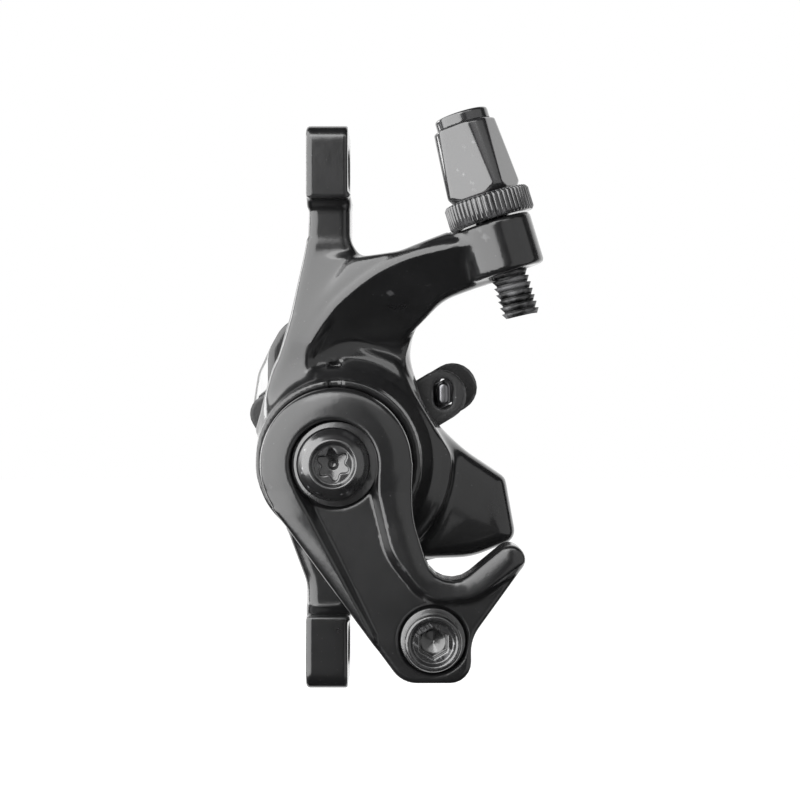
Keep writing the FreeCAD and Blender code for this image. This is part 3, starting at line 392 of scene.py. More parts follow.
castingShape = {
    "step": 0.42, "mountFace": 8.0, "neckFront": -5.0, "neckEdge": 1.2, "webFront": -2.2,
    "riseTop": 24, "riseLong": 13, "neckRise": 0.12, "neckTilt": 0.17, "fallTop": 10, "neckFall": 0.15,
    "crest": [(-1.6, 6.6), (0.6, 9.6), (2.7, 12.9), (5.2, 15.8), (10.2, 19.7), (15.2, 22.0), (20.1, 23.1),
              (23.5, 23.7), (28.0, 24.5)],
    "crestHeight": [(-2.0, 5.4), (0.6, 6.2), (5.0, 7.9), (10.0, 10.3), (14.0, 12.4), (19.0, 14.6),
                    (22.5, 15.4), (28.0, 15.4)],
    "faceFall": 0.66, "bandWide": 1.1, "bandFall": 0.36, "backFall": ([8, 16], [0.55, 0.85]),
    "armBack": ([-9, 11, 24, 29.5], [3, 3, -6.95, -7.35]), "grooveDepth": 0.3, "grooveWide": 0.5,
    "sideFlat": 15.4, "sideCuts": [(166, 12.75), (180, 12.5), (202, 12.4), (225, 12.3), (247, 13.8)],
    "lumpFront": 0.7, "lumpRise": 2.0, "lumpFar": 27, "lumpLong": 13, "lumpEdge": 3.0, "lumpBack": 10.5,
    "farJaw": (10.2, 23.5), "farJawCut": {"x": -9.2, "y": 17.0, "normal": (-0.883, -0.469)},
    "earWide": 6.7, "bossRadius": 5.55, "bossTall": 7.85,
    # rooms: a bore is its radius and its reach along y, a box its two far corners
    "rotorCentre": -71, "rotorRadius": 82.5, "rotorSlot": (8.0, 13.0),
    "bores": {"piston": (10.05, -1.6, 5.0), "rim": (11.2, -12.0, -4.6), "spindle": (6.5, -6.0, 0.0),
              "plunger": (5.05, 18.6, 26.0), "knob": (11.1, 22.3, 26.0)},
    "padRoom": ((-30, -15.3, 4.5), (12.3, 15.3, 16.6)), "nearTab": ((0, -3.8, 4.2), (40, 4.8, 10.5)),
    "farTab": ((0, -3.8, 10.5), (40, 4.8, 16.8)),
    "footRoom": {"radius": 8.55, "flat": 7.25, "reach": (16.0, 19.6)},
    "washerFace": ((6.3, -12, 32.3), (9, 12, 50)), "bossFace": 6.7, "bossBore": 3.0,
    "notchTurn": 92, "springNotch": ((9.0, -1.0, -12.0), (13.0, 1.0, -8.6)),
    "collarNotch": ((14.3, -1.0, -8.0), (15.1, 1.0, -3.9)),
}
housingProfile = roundedOutline([
    (-5, 8), (17.35, 8), (17.35, -3.3, 0.7), (15.9, -3.9, 1.5), (14.4, -5.2, 3.0), (12.6, -7.6, 1.0),
    (12.4, -9.3, 0.25), (-5, -9.3)])
neckOutline = roundedOutline([
    (0.35, 31.5), (0.1, 24.5, 20.0), (-2.4, 13.9, 20.0), (-7.6, -3.6), (4.8, -8.3), (0.3, 9.4), (4.0, 14.0),
    (12.0, 20.0), (12.0, 23.2), (6.6, 22.9, 4.0), (6.6, 31.5)])
webOutline = roundedOutline([
    (-2.4, 10.0), (4.8, -8.3), (17.5, -1.0), (14.6, 7.0, 5.0), (18.2, 16.5), (14.0, 23.3), (6.0, 23.0)])
riseOutline = roundedOutline([
    (0.1, 25.5), (-2.4, 13.9, 20.0), (-6.4, 0.0), (-1.0, 2.0), (1.8, 9.6, 4.0), (5.2, 15.9, 8.0), (9.0, 18.9),
    (8.0, 22.9), (6.4, 25.5)])
lowerNeckOutline = roundedOutline([
    (0, -31.5), (0, -27.0, 6.0), (-3.2, -18.5), (4.8, -8.3), (16.5, -16.5), (9.0, -23.5, 6.0), (6.6, -29.0, 4.0),
    (6.6, -31.5)])
cableArmOutline = roundedOutline([
    (-2.0, 12.5), (6.5, 22.6, 4.0), (14.0, 23.3, 8.0), (24.0, 27.0), (29.0, 26.0), (29.6, 19.2), (20.8, 16.1, 8.0),
    (14.6, 10.0, 6.0), (15.0, 4.0), (3.0, 4.0)])


def jawOutline(upper, lower, bend):
    ends = [(9.8, 23.8, bend), (17.3, 25.0, 2.2), (20.8, 15.8, 2.0), (17.9, 9.6, 6.0), (14.8, 1.0)]
    mirrored = [(u, -v, *rest) for u, v, *rest in reversed(lower + ends)]
    return roundedOutline(upper + ends + mirrored)


nearSide = [(0.0, 17.5), (3.8, 20.4, 3.0)]
nearJawOutline = jawOutline(nearSide, nearSide, 12.0)
farJawOutline = jawOutline([(-9.5, 14.0, 3.0), (-5.0, 19.1, 4.0), (2.4, 23.3, 6.0)],
                           [(-9.5, 14.0, 3.0), (-5.0, 18.4, 4.0), (3.5, 21.6, 6.0)], 30.0)
earOutlines = [roundedOutline([
    (-4.9, k * 30.2), (-6.3, k * 31.45, 1.2), (-8.5, k * 31.5, 0.3), (-8.5, k * 42.6, 2.3), (8.5, k * 42.6, 2.3),
    (8.5, k * 31.5, 1.4), (-2.9, k * 31.5), (-2.9, k * 30.2)]) for k in (1, -1)]
slotOutlines = [roundedOutline([(-5.5, k * 33.8, 3.19), (-5.5, k * 40.2, 3.19), (5.5, k * 40.2, 3.19),
                                (5.5, k * 33.8, 3.19)]) for k in (1, -1)]


def smoothLine(points, rounds=3):
    points = np.array(points, float)
    for _ in range(rounds):
        inner = np.stack([points[:-1] * 0.75 + points[1:] * 0.25, points[:-1] * 0.25 + points[1:] * 0.75], 1)
        points = np.concatenate([points[:1], inner.reshape(-1, 2), points[-1:]])
    return points


crestLine = smoothLine(castingShape["crest"])
crestHeights = smoothLine(castingShape["crestHeight"])


def crestDistance(x, z):
    best = np.full(x.shape, 1e9)
    side = np.zeros(x.shape)
    along = np.zeros(x.shape)
    for (x0, z0), (x1, z1) in zip(crestLine[:-1], crestLine[1:]):
        ex, ez = x1 - x0, z1 - z0
        t = np.clip(((x - x0) * ex + (z - z0) * ez) / (ex * ex + ez * ez), 0, 1)
        qx, qz = x0 + ex * t, z0 + ez * t
        d = np.hypot(x - qx, z - qz)
        nearer = d < best
        best = np.where(nearer, d, best)
        side = np.where(nearer, np.sign(ex * (z - qz) - ez * (x - qx)), side)
        along = np.where(nearer, qx, along)
    return best * side, np.interp(along, crestHeights[:, 0], crestHeights[:, 1]), along


def cableArmField(x, y, z):
    shape = castingShape
    above, crestHeight, along = crestDistance(x, z)
    fall = np.interp(along, *shape["backFall"])
    band = np.clip(above, 0, shape["bandWide"])
    height = np.where(above > 0, crestHeight - shape["bandFall"] * band - fall * (above - band),
                      crestHeight + shape["faceFall"] * above)
    height -= shape["grooveDepth"] * np.exp(-((above - shape["bandWide"] - 0.3) / shape["grooveWide"]) ** 2)
    front = (-y - height) / 1.3
    back = (y - np.interp(x, *shape["armBack"])) / 1.25
    flat = outlineField(x, z, cableArmOutline)
    return smoothMax(smoothMax(flat, front, 1.2), back, 1.4)


# Front of the neck: it rises towards the housing, leans to the left and runs out on the collar

def neckRiseField(x, y, z):
    shape = castingShape
    down = np.clip(shape["riseTop"] - z, 0, shape["riseLong"])
    tilt = shape["neckTilt"] * (x - 1) * np.clip(down / 1.5, 0, 1)
    height = -shape["neckFront"] + shape["neckRise"] * down + tilt
    height -= shape["neckFall"] * np.maximum(0, shape["fallTop"] - z)
    return smoothMax(smoothMax(outlineField(x, z, riseOutline), (-y - height) / 1.05, 1.3), y + 1, 0.5)


def castingField(p):
    shape = castingShape
    x, y, z = p[:, 0], p[:, 1], p[:, 2]
    px, pz, _ = pistonCoords(p)
    r = np.hypot(px, pz)
    u, v, _ = padCoords(p)
    bx, by, bz = barrelCoords(p)
    br = np.hypot(bx, by)
    back = shape["mountFace"]
    neck = slabField(outlineField(x, z, neckOutline), y, shape["neckFront"], back, shape["neckEdge"])
    neck = smoothMin(neck, neckRiseField(x, y, z), 0.8)
    neck = smoothMin(neck, cableArmField(x, y, z), 0.8)
    neck = smoothMin(neck, slabField(outlineField(x, z, webOutline), y, shape["webFront"], back, 0.4), 0.8)
    body = outlineField(r, y, housingProfile)
    for turn, far in shape["sideCuts"]:
        turn = math.radians(turn)
        body = smoothMax(body, px * math.cos(turn) + pz * math.sin(turn) - far, 0.8)
    body = smoothMax(body, u - shape["sideFlat"], 0.6)
    body = smoothMin(body, neck, 2.0)
    lower = slabField(outlineField(x, z, lowerNeckOutline), y, shape["neckFront"], back, 1.6)
    body = smoothMin(body, lower, 1.2)
    nearHousing = np.clip((shape["lumpFar"] - r) / shape["lumpLong"], 0, 1)
    lumpFront = shape["lumpFront"] - shape["lumpRise"] * nearHousing ** 2 * (3 - 2 * nearHousing)
    lump = smoothMax(outlineField(u, v, nearJawOutline), (lumpFront - y) / 1.03, shape["lumpEdge"])
    body = smoothMin(body, smoothMax(lump, y - shape["lumpBack"], 0.4), 2.2)
    farJaw = slabField(outlineField(u, v, farJawOutline), y, *shape["farJaw"], 1.4)
    cut = shape["farJawCut"]
    farJaw = smoothMax(farJaw, cut["normal"][0] * (x - cut["x"]) + cut["normal"][1] * (y - cut["y"]), 0.5)
    body = smoothMin(body, farJaw, 0.6)
    for outline in earOutlines:
        body = smoothMin(body, slabField(outlineField(y, z, outline), x, 0.0, shape["earWide"], 0.6), 0.5)
    body = smoothMin(body, slabField(br - shape["bossRadius"], bz, -shape["bossTall"], 0.0, 0.7), 1.1)

    def take(tool, soft=0.5):
        nonlocal body
        body = smoothMax(body, -tool, soft)

    def bore(name):
        radius, low, high = shape["bores"][name]
        return slabField(r - radius, y, low, high, 0.05)

    take(slabField(np.hypot(u - shape["rotorCentre"], v) - shape["rotorRadius"], y, *shape["rotorSlot"], 0.1))
    for room in ("padRoom", "nearTab", "farTab"):
        take(boxField(u, v, y, *shape[room]))
    take(bore("piston"), 0.3)
    take(bore("rim"), 0.5)
    take(bore("spindle"), 0.3)
    foot = shape["footRoom"]
    take(slabField(hardMax(r - foot["radius"], np.abs(v) - foot["flat"]), y, *foot["reach"], 0.05), 0.3)
    take(bore("plunger"), 0.3)
    take(bore("knob"), 0.5)
    take(slabField(br - shape["bossFace"], bz, 0.0, 6.0, 0.05), 0.2)
    take(slabField(br - shape["bossBore"], bz, -9.0, 1.0, 0.05), 0.4)
    for outline in slotOutlines:
        take(slabField(outlineField(y, z, outline), x, -2.0, 9.0, 0.05), 0.5)
    for sign in (1, -1):                # faces for the washers of the mounting bolts
        take(boxField(x, y, z * sign, *shape["washerFace"]), 0.3)
    notch = math.radians(shape["notchTurn"])
    nx, nz = px * math.cos(notch) + pz * math.sin(notch), pz * math.cos(notch) - px * math.sin(notch)
    take(boxField(nx, nz, y, *shape["springNotch"]), 0.3)
    take(boxField(nx, nz, y, *shape["collarNotch"]), 0.3)
    return body


casting = fieldPiece("castHousing", castingField, (-11, -19.2, -43.6), (36, 24.4, 44.4), castingShape["step"],
                     castPaint)
belongs(casting, "caliper", "cast_paint", "caliper_body")

# The actuator arm

armShape = {"step": 0.3, "hub": 11.15, "front": 17.5, "back": 10.0, "dishTop": 2.1, "dishLow": 1.1,
            "wall": 1.5, "dome": 0.0062, "crown": 0.055, "crownWide": 3.0, "drive": 4.3,
            "wellSide": -0.3, "wellRadius": 6.4, "wellFloor": 15.3,
            "anchor": (14.2, -25.7), "anchorWell": 5.0, "anchorFloor": 15.6, "anchorBore": 2.5}
bladeOutline = roundedOutline([
    (-9.1, -6.6), (9.7, -32.1, 4.3), (19.9, -32.1, 3.9), (19.8, -25.6, 6.0), (28.38, -13.78, 2.18),
    (25.66, -11.04, 2.18), (14.93, -19.9, 5.8), (11.27, -8.0, 15.0), (11.1, 0)])
dishOutline = roundedOutline([
    (-6.2, 0.5), (-6.2, -3.3, 6.0), (0.6, -16.0, 20.0), (5.4, -25.2), (6.4, -40.0), (34.0, -40.0), (34.0, -10.0),
    (26.0, -15.2), (20.5, -19.3, 6.0), (13.5, -20.0, 6.0), (8.3, -13.2, 10.0), (6.3, -4.0, 8.0), (6.3, 0.5)])


def armField(p):
    shape = armShape
    a, b, c = pistonCoords(p)
    r = np.hypot(a, b)
    blade = outlineField(a, b, bladeOutline)
    flat = smoothMin(r - shape["hub"], blade, 0.6)
    nearHub = np.clip((b + 14) / 10, 0, 1)
    top = shape["front"] - shape["dome"] * np.minimum(r, 12) ** 2 * nearHub ** 2
    rim = smoothMin(r - shape["hub"], blade, 3.0)
    top = top - shape["crown"] * np.clip(shape["crownWide"] + rim, 0, shape["crownWide"]) ** 2
    depth = np.interp(-b, [0, 26], [shape["dishTop"], shape["dishLow"]])
    ramp = np.clip(-outlineField(a, b, dishOutline) * shape["wall"] / depth, 0, 1)
    top = top * (1 - ramp) + (shape["front"] - depth) * ramp
    body = smoothMax(smoothMax(flat, (c - top) / 1.15, 0.7), shape["back"] - c, 0.6)
    well = np.hypot(a - shape["wellSide"], b) - shape["wellRadius"]
    body = smoothMax(body, -np.maximum(well, shape["wellFloor"] - c), 0.5)
    anchorX, anchorZ = shape["anchor"]
    ar = np.hypot(a - anchorX, b - anchorZ)
    body = smoothMax(body, -np.maximum(ar - shape["anchorWell"], shape["anchorFloor"] - c), 0.4)
    body = smoothMax(body, -(ar - shape["anchorBore"]), 0.2)
    return smoothMax(body, -hexagonField(a, b, shape["drive"]), 0.15)


armPiece = fieldPiece("forgedArm", armField, (-7.6, -18.2, -41.4), (34.6, -9.2, 3.8), armShape["step"],
                      armPaint)
belongs(armPiece, "arm", "arm_paint", "actuator_arm")

# Bolts on the arm

armBoltShape = {"step": 0.16, "top": 19.5, "shank": 2.9, "seat": 16.6, "sinkRadius": 3.35, "sinkDeep": 0.6,
                "socket": 1.3, "socketDeep": 0.7, "waist": 2.05, "lobe": 0.38, "lobeTurn": 38, "dimple": 0.75}
boltProfile = roundedOutline([
    (-3, 16.3), (5.4, 16.3, 0.3), (5.4, 17.3, 0.4), (5.1, 18.1, 0.8), (4.4, 18.9, 1.5), (3.5, 19.5, 0.4),
    (-3, 19.5)])


def armBoltField(p):
    shape = armBoltShape
    a, b, c = pistonCoords(p)
    shank = slabField(np.hypot(a, b) - shape["shank"], c, 5.0, shape["seat"], 0.3)
    a = a - armShape["wellSide"]
    r = np.hypot(a, b)
    deep = shape["top"] - c
    body = outlineField(r, c, boltProfile)
    sink = np.maximum((r - shape["sinkRadius"] + 0.7 * deep) / 1.22, deep - shape["sinkDeep"])
    body = smoothMax(body, -sink, 0.15)
    turn = np.arctan2(b, a) - math.radians(shape["lobeTurn"])
    lobes = r - (shape["waist"] + shape["lobe"] * np.cos(6 * turn))
    floor = shape["socket"] + shape["socketDeep"] * np.maximum(0, 1 - r / 2.7)
    body = smoothMax(body, -np.maximum(lobes / 1.3, (deep - floor) / 1.04), 0.12)
    dimple = np.sqrt(r * r + (deep - shape["socket"] - shape["socketDeep"] + 0.3) ** 2) - shape["dimple"]
    return np.minimum(smoothMax(body, -dimple, 0.08), shank)


armBoltPiece = fieldPiece("armBoltHead", armBoltField, (-1.2, -20, -14.2), (10.8, -4.6, -2.4),
                          armBoltShape["step"], blackSteel)
belongs(armBoltPiece, "arm", "black_steel", "arm_bolt")

anchorShape = {"step": 0.15, "socket": 2.0, "floor": 17.7, "drill": 1.7}
anchorProfile = roundedOutline([
    (-3, 9.8), (2.45, 9.8), (2.45, 16.9), (4.15, 16.9, 0.2), (4.15, 19.9, 0.3), (3.9, 20.3, 0.15),
    (3.4, 20.3, 0.1), (2.9, 19.7), (-3, 19.7)])


def anchorField(p):
    a, b, c = pistonCoords(p)
    a, b = a - armShape["anchor"][0], b - armShape["anchor"][1]
    r = np.hypot(a, b)
    floor = anchorShape["floor"] - 0.5 * np.maximum(0, anchorShape["drill"] - r)
    socket = np.maximum(hexagonField(a, b, anchorShape["socket"]), floor - c)
    return smoothMax(outlineField(r, c, anchorProfile), -socket, 0.12)


anchorPiece = fieldPiece("anchorBoltHead", anchorField, (14.6, -20.6, -38.5), (23.4, -9.4, -29.5),
                         anchorShape["step"], blackSteel)
belongs(anchorPiece, "arm", "black_steel", "cable_anchor_bolt")

# Barrel adjuster

barrelShape = {"step": 0.17, "flatTurns": (-27, 63, 153, 243), "flatReach": (4.3, 14.85), "flats": (4.55, 4.28),
               "cupRoom": 3.3, "cupFloor": 5.4, "wireBore": 1.2, "cupStep": 0.16}
coneProfile = roundedOutline([
    (-3, -7.0), (2.55, -7.0), (2.55, 4.0), (4.9, 4.0, 0.3), (5.72, 4.9, 0.5), (4.7, 14.85, 0.35), (-3, 14.85)])
cupProfile = roundedOutline([
    (1.1, 5.6), (3.2, 5.6), (3.2, 14.9), (4.02, 14.9), (4.02, 16.6, 0.35), (2.55, 16.6, 0.25), (2.55, 7.0),
    (1.1, 7.0)])


def coneField(p):
    a, b, c = barrelCoords(p)
    r = np.hypot(a, b)
    body = outlineField(r, c, coneProfile)
    shape = barrelShape
    flat = np.interp(c, shape["flatReach"], shape["flats"])
    for turn in shape["flatTurns"]:
        t = math.radians(turn)
        body = smoothMax(body, np.where(c > 2.5, a * math.sin(t) - b * math.cos(t) - flat, -5.0), 0.3)
    body = smoothMax(body, -np.maximum(r - shape["cupRoom"], shape["cupFloor"] - c), 0.1)
    return smoothMax(body, -(r - shape["wireBore"]), 0.1)


def cupField(p):
    a, b, c = barrelCoords(p)
    return outlineField(np.hypot(a, b), c, cupProfile)


conePiece = fieldPiece("barrelCone", coneField, (17.6, -18.6, 17.2), (33.6, -6.4, 44.6), barrelShape["step"],
                       blackAlloy)
cupPiece = fieldPiece("housingCup", cupField, (18.6, -17, 31.8), (29.2, -8, 44.6), barrelShape["cupStep"],
                      blackAlloy)
belongs(cupPiece, "seat", "black_alloy", "housing_seat")


# Geometry Nodes pieces: knurled lock ring and cut threads

def geometryTree(name, inputs):
    tree = bpy.data.node_groups.new(name, "GeometryNodeTree")
    tree.interface.new_socket("Geometry", in_out="INPUT", socket_type="NodeSocketGeometry")
    sockets = {}
    for label, (kind, value) in inputs.items():
        socket = tree.interface.new_socket(label, in_out="INPUT", socket_type=kind)
        socket.default_value = value
        sockets[label] = socket.identifier
    tree.interface.new_socket("Geometry", in_out="OUTPUT", socket_type="NodeSocketGeometry")
    return tree, tree.nodes.new("NodeGroupInput"), tree.nodes.new("NodeGroupOutput"), sockets


def grownMesh(name, tree, sockets, values, seed=None):
    mesh = seed or bpy.data.meshes.new(name + "Seed")
    carrier = bpy.data.objects.new(name + "Carrier", mesh)
    bpy.context.scene.collection.objects.link(carrier)
    modifier = carrier.modifiers.new("grow", "NODES")
    modifier.node_group = tree
    for label, value in values.items():
        modifier[sockets[label]] = value
    graph = bpy.context.evaluated_depsgraph_get()
    grown = bpy.data.meshes.new_from_object(carrier.evaluated_get(graph))
    carrier.modifiers.remove(modifier)
    bpy.data.objects.remove(carrier)
    return grown


def threadTree():
    tree, ins, outs, sockets = geometryTree("cutThread", {
        "Turns": ("NodeSocketFloat", 6.0), "Pitch": ("NodeSocketFloat", 1.0),
        "Root Radius": ("NodeSocketFloat", 2.4), "Crest Radius": ("NodeSocketFloat", 2.9),
        "Base": ("NodeSocketFloat", 0.0)})
    i = ins.outputs
    long = mathNode(tree, "MULTIPLY", i["Turns"], i["Pitch"])
    spiral = addNode(tree, "GeometryNodeCurveSpiral", {"Resolution": 40, "Rotations": i["Turns"],
                                                       "Start Radius": i["Root Radius"],
                                                       "End Radius": i["Root Radius"], "Height": long})
    upright = addNode(tree, "GeometryNodeSetCurveNormal", {"Curve": spiral.outputs[0]}, mode="Z_UP")
    deep = mathNode(tree, "SUBTRACT", i["Crest Radius"], i["Root Radius"])
    half = mathNode(tree, "MULTIPLY", i["Pitch"], 0.47)
    point = addNode(tree, "GeometryNodeCurvePrimitiveCircle", {"Resolution": 3, "Radius": 1.0}, mode="RADIUS")
    place = addNode(tree, "GeometryNodeInputIndex")
    # three corners of the thread: two at the root and one at the crest
    first = mathNode(tree, "COMPARE", place.outputs[0], 0.0, 0.1)
    second = mathNode(tree, "COMPARE", place.outputs[0], 1.0, 0.1)
    third = mathNode(tree, "COMPARE", place.outputs[0], 2.0, 0.1)
    across = mathNode(tree, "MULTIPLY", mathNode(tree, "SUBTRACT", third, first), half)
    out = mathNode(tree, "MULTIPLY_ADD", second, mathNode(tree, "ADD", deep, 0.15), -0.15)
    corner = addNode(tree, "ShaderNodeCombineXYZ", {"X": across, "Y": out, "Z": 0.0})
    shaped = addNode(tree, "GeometryNodeSetPosition", {"Geometry": point.outputs[0],
                                                       "Position": corner.outputs[0]})
    swept = addNode(tree, "GeometryNodeCurveToMesh", {"Curve": upright.outputs[0],
                                                      "Profile Curve": shaped.outputs[0], "Fill Caps": True})
    lift = addNode(tree, "ShaderNodeCombineXYZ", {"X": 0.0, "Y": 0.0, "Z": i["Base"]})
    placed = addNode(tree, "GeometryNodeTransform", {"Geometry": swept.outputs[0],
                                                     "Translation": lift.outputs[0]})
    tree.links.new(placed.outputs[0], outs.inputs[0])
    return tree, sockets


def knurlTree():
    tree, ins, outs, sockets = geometryTree("knurl", {"Teeth": ("NodeSocketInt", 38),
                                                      "Radius": ("NodeSocketFloat", 5.8)})
    i = ins.outputs
    dots = addNode(tree, "GeometryNodeMeshCircle", {"Vertices": i["Teeth"], "Radius": i["Radius"]})
    spot = addNode(tree, "GeometryNodeInputPosition")
    facing = addNode(tree, "FunctionNodeAlignEulerToVector", {"Vector": spot.outputs[0]}, axis="X",
                     pivot_axis="Z")
    placed = addNode(tree, "GeometryNodeInstanceOnPoints", {"Points": dots.outputs[0],
                                                            "Instance": i["Geometry"],
                                                            "Rotation": facing.outputs[0]})
    real = addNode(tree, "GeometryNodeRealizeInstances", {"Geometry": placed.outputs[0]})
    tree.links.new(real.outputs[0], outs.inputs[0])
    return tree, sockets


def meshArrays(mesh):
    points = np.array([v.co[:] for v in mesh.vertices])
    return points, [list(p.vertices) for p in mesh.polygons]


def joined(parts):
    points, faces, base = [], [], 0
    for p, f in parts:
        points.append(np.asarray(p))
        faces += [[base + k for k in face] for face in f]
        base += len(p)
    return np.concatenate(points), faces


def turnedShell(profile, count=96):
    profile = np.asarray(profile)
    points, faces = [], []
    rows = len(profile)
    for k in range(count):
        t = 2 * math.pi * k / count
        points += [(r * math.cos(t), r * math.sin(t), h) for r, h in profile]
    for k in range(count):
        n = (k + 1) % count
        for j in range(rows):
            m = (j + 1) % rows
            faces.append([k * rows + j, n * rows + j, n * rows + m, k * rows + m])
    return np.array(points), faces


def toothShell(width, out, low, high, bevel):
    tip = width * 0.30
    foot = width * 0.5
    ring = [(-0.5, -foot), (0.0, -foot), (out * 0.75, -tip - 0.03), (out, -tip * 0.6), (out, tip * 0.6),
            (out * 0.75, tip + 0.03), (0.0, foot), (-0.5, foot)]
    rows = [(low, 0.0), (low + bevel, 1.0), (high - bevel, 1.0), (high, 0.0)]
    points = [(x if x <= 0 else x * (0.25 + 0.75 * full), y, h) for h, full in rows for x, y in ring]
    n = len(ring)
    faces = [list(range(n))[::-1], [3 * n + k for k in range(n)]]
    faces += [[j * n + k, j * n + (k + 1) % n, (j + 1) * n + (k + 1) % n, (j + 1) * n + k]
              for j in range(3) for k in range(n)]
    return np.array(points), faces


def shellMesh(name, points, faces):
    mesh = bpy.data.meshes.new(name)
    mesh.from_pydata(np.asarray(points).tolist(), [], faces)
    return mesh


def outward(piece):
    shell = bmesh.new()
    shell.from_mesh(piece.data)
    bmesh.ops.recalc_face_normals(shell, faces=shell.faces)
    shell.to_mesh(piece.data)
    shell.free()
    return piece


threads, threadSockets = threadTree()
knurl, knurlSockets = knurlTree()


def threadPart(turns, pitch, root, crest, base):
    return meshArrays(grownMesh("thread", threads, threadSockets, {
        "Turns": turns, "Pitch": pitch, "Root Radius": root, "Crest Radius": crest, "Base": base}))


lockShape = {"teeth": 52, "root": 6.05, "out": 0.38, "share": 0.86, "low": 0.12, "high": 3.95, "bevel": 0.4}
tooth = toothShell(2 * math.pi * lockShape["root"] / lockShape["teeth"] * lockShape["share"], lockShape["out"],
                   lockShape["low"] + 0.1, lockShape["high"] - 0.1, lockShape["bevel"])
teeth = grownMesh("teeth", knurl, knurlSockets, {"Teeth": lockShape["teeth"], "Radius": lockShape["root"]},
                  shellMesh("tooth", *tooth))
ringBody = turnedShell(roundedOutline([
    (3.0, lockShape["low"]), (5.8, lockShape["low"], 0.2), (6.1, 0.5, 0.2), (6.1, 3.55, 0.2),
    (5.8, lockShape["high"], 0.2), (3.0, lockShape["high"])], 3))
points, faces = joined([meshArrays(teeth), ringBody])
lockPiece = outward(meshPiece("knurledLockRing", barrelPlace(points), faces, blackAlloy))
belongs(lockPiece, "lock", "black_alloy", "lock_ring")

# Threaded end of the barrel below the boss, and a part of it inside
studShape = {"low": -14.2, "pitch": 1.0, "root": 2.3, "crest": 2.9, "turns": 17.0}
core = turnedShell(roundedOutline([(1.2, -14.35), (2.1, -14.35, 0.1), (2.3, -13.9), (2.3, 4.1), (1.2, 4.1)], 3))
stud = threadPart(studShape["turns"], studShape["pitch"], studShape["root"], studShape["crest"],
                  studShape["low"])
points, faces = joined([stud, core])
studPiece = outward(meshPiece("threadedStud", barrelPlace(points), faces, threadSteel))
for piece in (conePiece, studPiece):
    belongs(piece, "barrel", "black_alloy", "barrel_adjuster")
print("barrel ready")


# CAD nodes that keep their shape with broken edges: widths in mm, angles in degrees

softShape = {"block": 0.3, "washer": 0.12, "knob": 0.25, "spring": 0.08, "steps": 2, "from": 42, "sharp": 50}


def softened(name, node, material, body, slot, width):
    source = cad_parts[node]
    mesh = source.data.copy()
    shell = bmesh.new()
    shell.from_mesh(mesh)
    bmesh.ops.transform(shell, matrix=source.matrix_world, verts=shell.verts)
    bmesh.ops.remove_doubles(shell, verts=shell.verts, dist=2e-6)
    bmesh.ops.dissolve_limit(shell, angle_limit=math.radians(1.5), verts=shell.verts, edges=shell.edges)
    shell.to_mesh(mesh)
    shell.free()
    piece = bpy.data.objects.new(name, mesh)
    bpy.context.scene.collection.objects.link(piece)
    mesh.materials.clear()
    mesh.materials.append(material)
    bevel = piece.modifiers.new("brokenEdge", "BEVEL")
    bevel.width = width * mm
    bevel.segments = softShape["steps"]
    bevel.limit_method = "ANGLE"
    bevel.angle_limit = math.radians(softShape["from"])
    graph = bpy.context.evaluated_depsgraph_get()
    done = bpy.data.meshes.new_from_object(piece.evaluated_get(graph))
    piece.modifiers.clear()
    piece.data = done
    done.polygons.foreach_set("use_smooth", [True] * len(done.polygons))
    done.set_sharp_from_angle(angle=math.radians(softShape["sharp"]))
    belongs(piece, body, slot, node)
    return piece


# Pad plates with their tabs, and the leaf spring's tongue that shows through the near tab's slot

padShape = {"step": 0.3, "plateLow": -9, "plateTop": 12, "plateHalf": 15, "tabMiddle": 0.5, "tabHalf": 4,
            "holeHalf": 0.9, "holeRadius": 1.5}


def plateOutline(tip):
    low, top, half = padShape["plateLow"], padShape["plateTop"], padShape["plateHalf"]
    near, far = (padShape["tabMiddle"] + k * padShape["tabHalf"] for k in (-1, 1))
    return roundedOutline([
        (low, -half, 3.0), (top, -half, 3.0), (top, near, 0.4), (tip, near, 3.95), (tip, far, 3.95),
        (top, far, 0.4), (top, half, 3.0), (low, half, 3.0)])


def uprightSlot(u, v, centre):
    x = (u - centre) * math.cos(padTurn) - v * math.sin(padTurn)
    z = (u - centre) * math.sin(padTurn) + v * math.cos(padTurn)
    z = z - np.clip(z, -padShape["holeHalf"], padShape["holeHalf"])
    return np.hypot(x, z)


def plateField(tip, centre, low, high):
    outline = plateOutline(tip)

    def field(p):
        u, v, c = padCoords(p)
        body = slabField(outlineField(u, v, outline), -c, low, high, 0.3)
        slot = uprightSlot(u, v - padShape["tabMiddle"], centre) - padShape["holeRadius"]
        return smoothMax(body, -slot, 0.35)
    return field


platePlan = {
    "nearPadPlate": {"body": "near_pad", "node": "near_pad_plate", "tip": 22.8, "hole": 19.2, "low": 4.5,
                     "high": 6.3},
    "farPadPlate": {"body": "far_pad", "node": "far_pad_plate", "tip": 25.3, "hole": 20.6, "low": 14.7,
                    "high": 16.5},
}
for name, plan in platePlan.items():
    piece = fieldPiece(name, plateField(plan["tip"], plan["hole"], plan["low"], plan["high"]),
                       (-12, plan["low"] - 0.6, -27), (31, plan["high"] + 0.6, 14), padShape["step"], plateSteel)
    belongs(piece, plan["body"], "plate_steel", plan["node"])

tongueShape = {"step": 0.2, "strap": ((14.6, -1.9, 8.6), (22.0, 1.9, 9.0)), "lugRadius": 0.85, "lug": (3.7, 8.8)}


def tongueField(p):
    u, v, c = padCoords(p)
    y = -c
    v = v - padShape["tabMiddle"]
    strap = boxField(u, v, y, *tongueShape["strap"], 0.15)
    reach = uprightSlot(u, v, platePlan["nearPadPlate"]["hole"])
    lug = slabField(reach - tongueShape["lugRadius"], y, *tongueShape["lug"], 0.5)
    return smoothMin(strap, lug, 0.6)


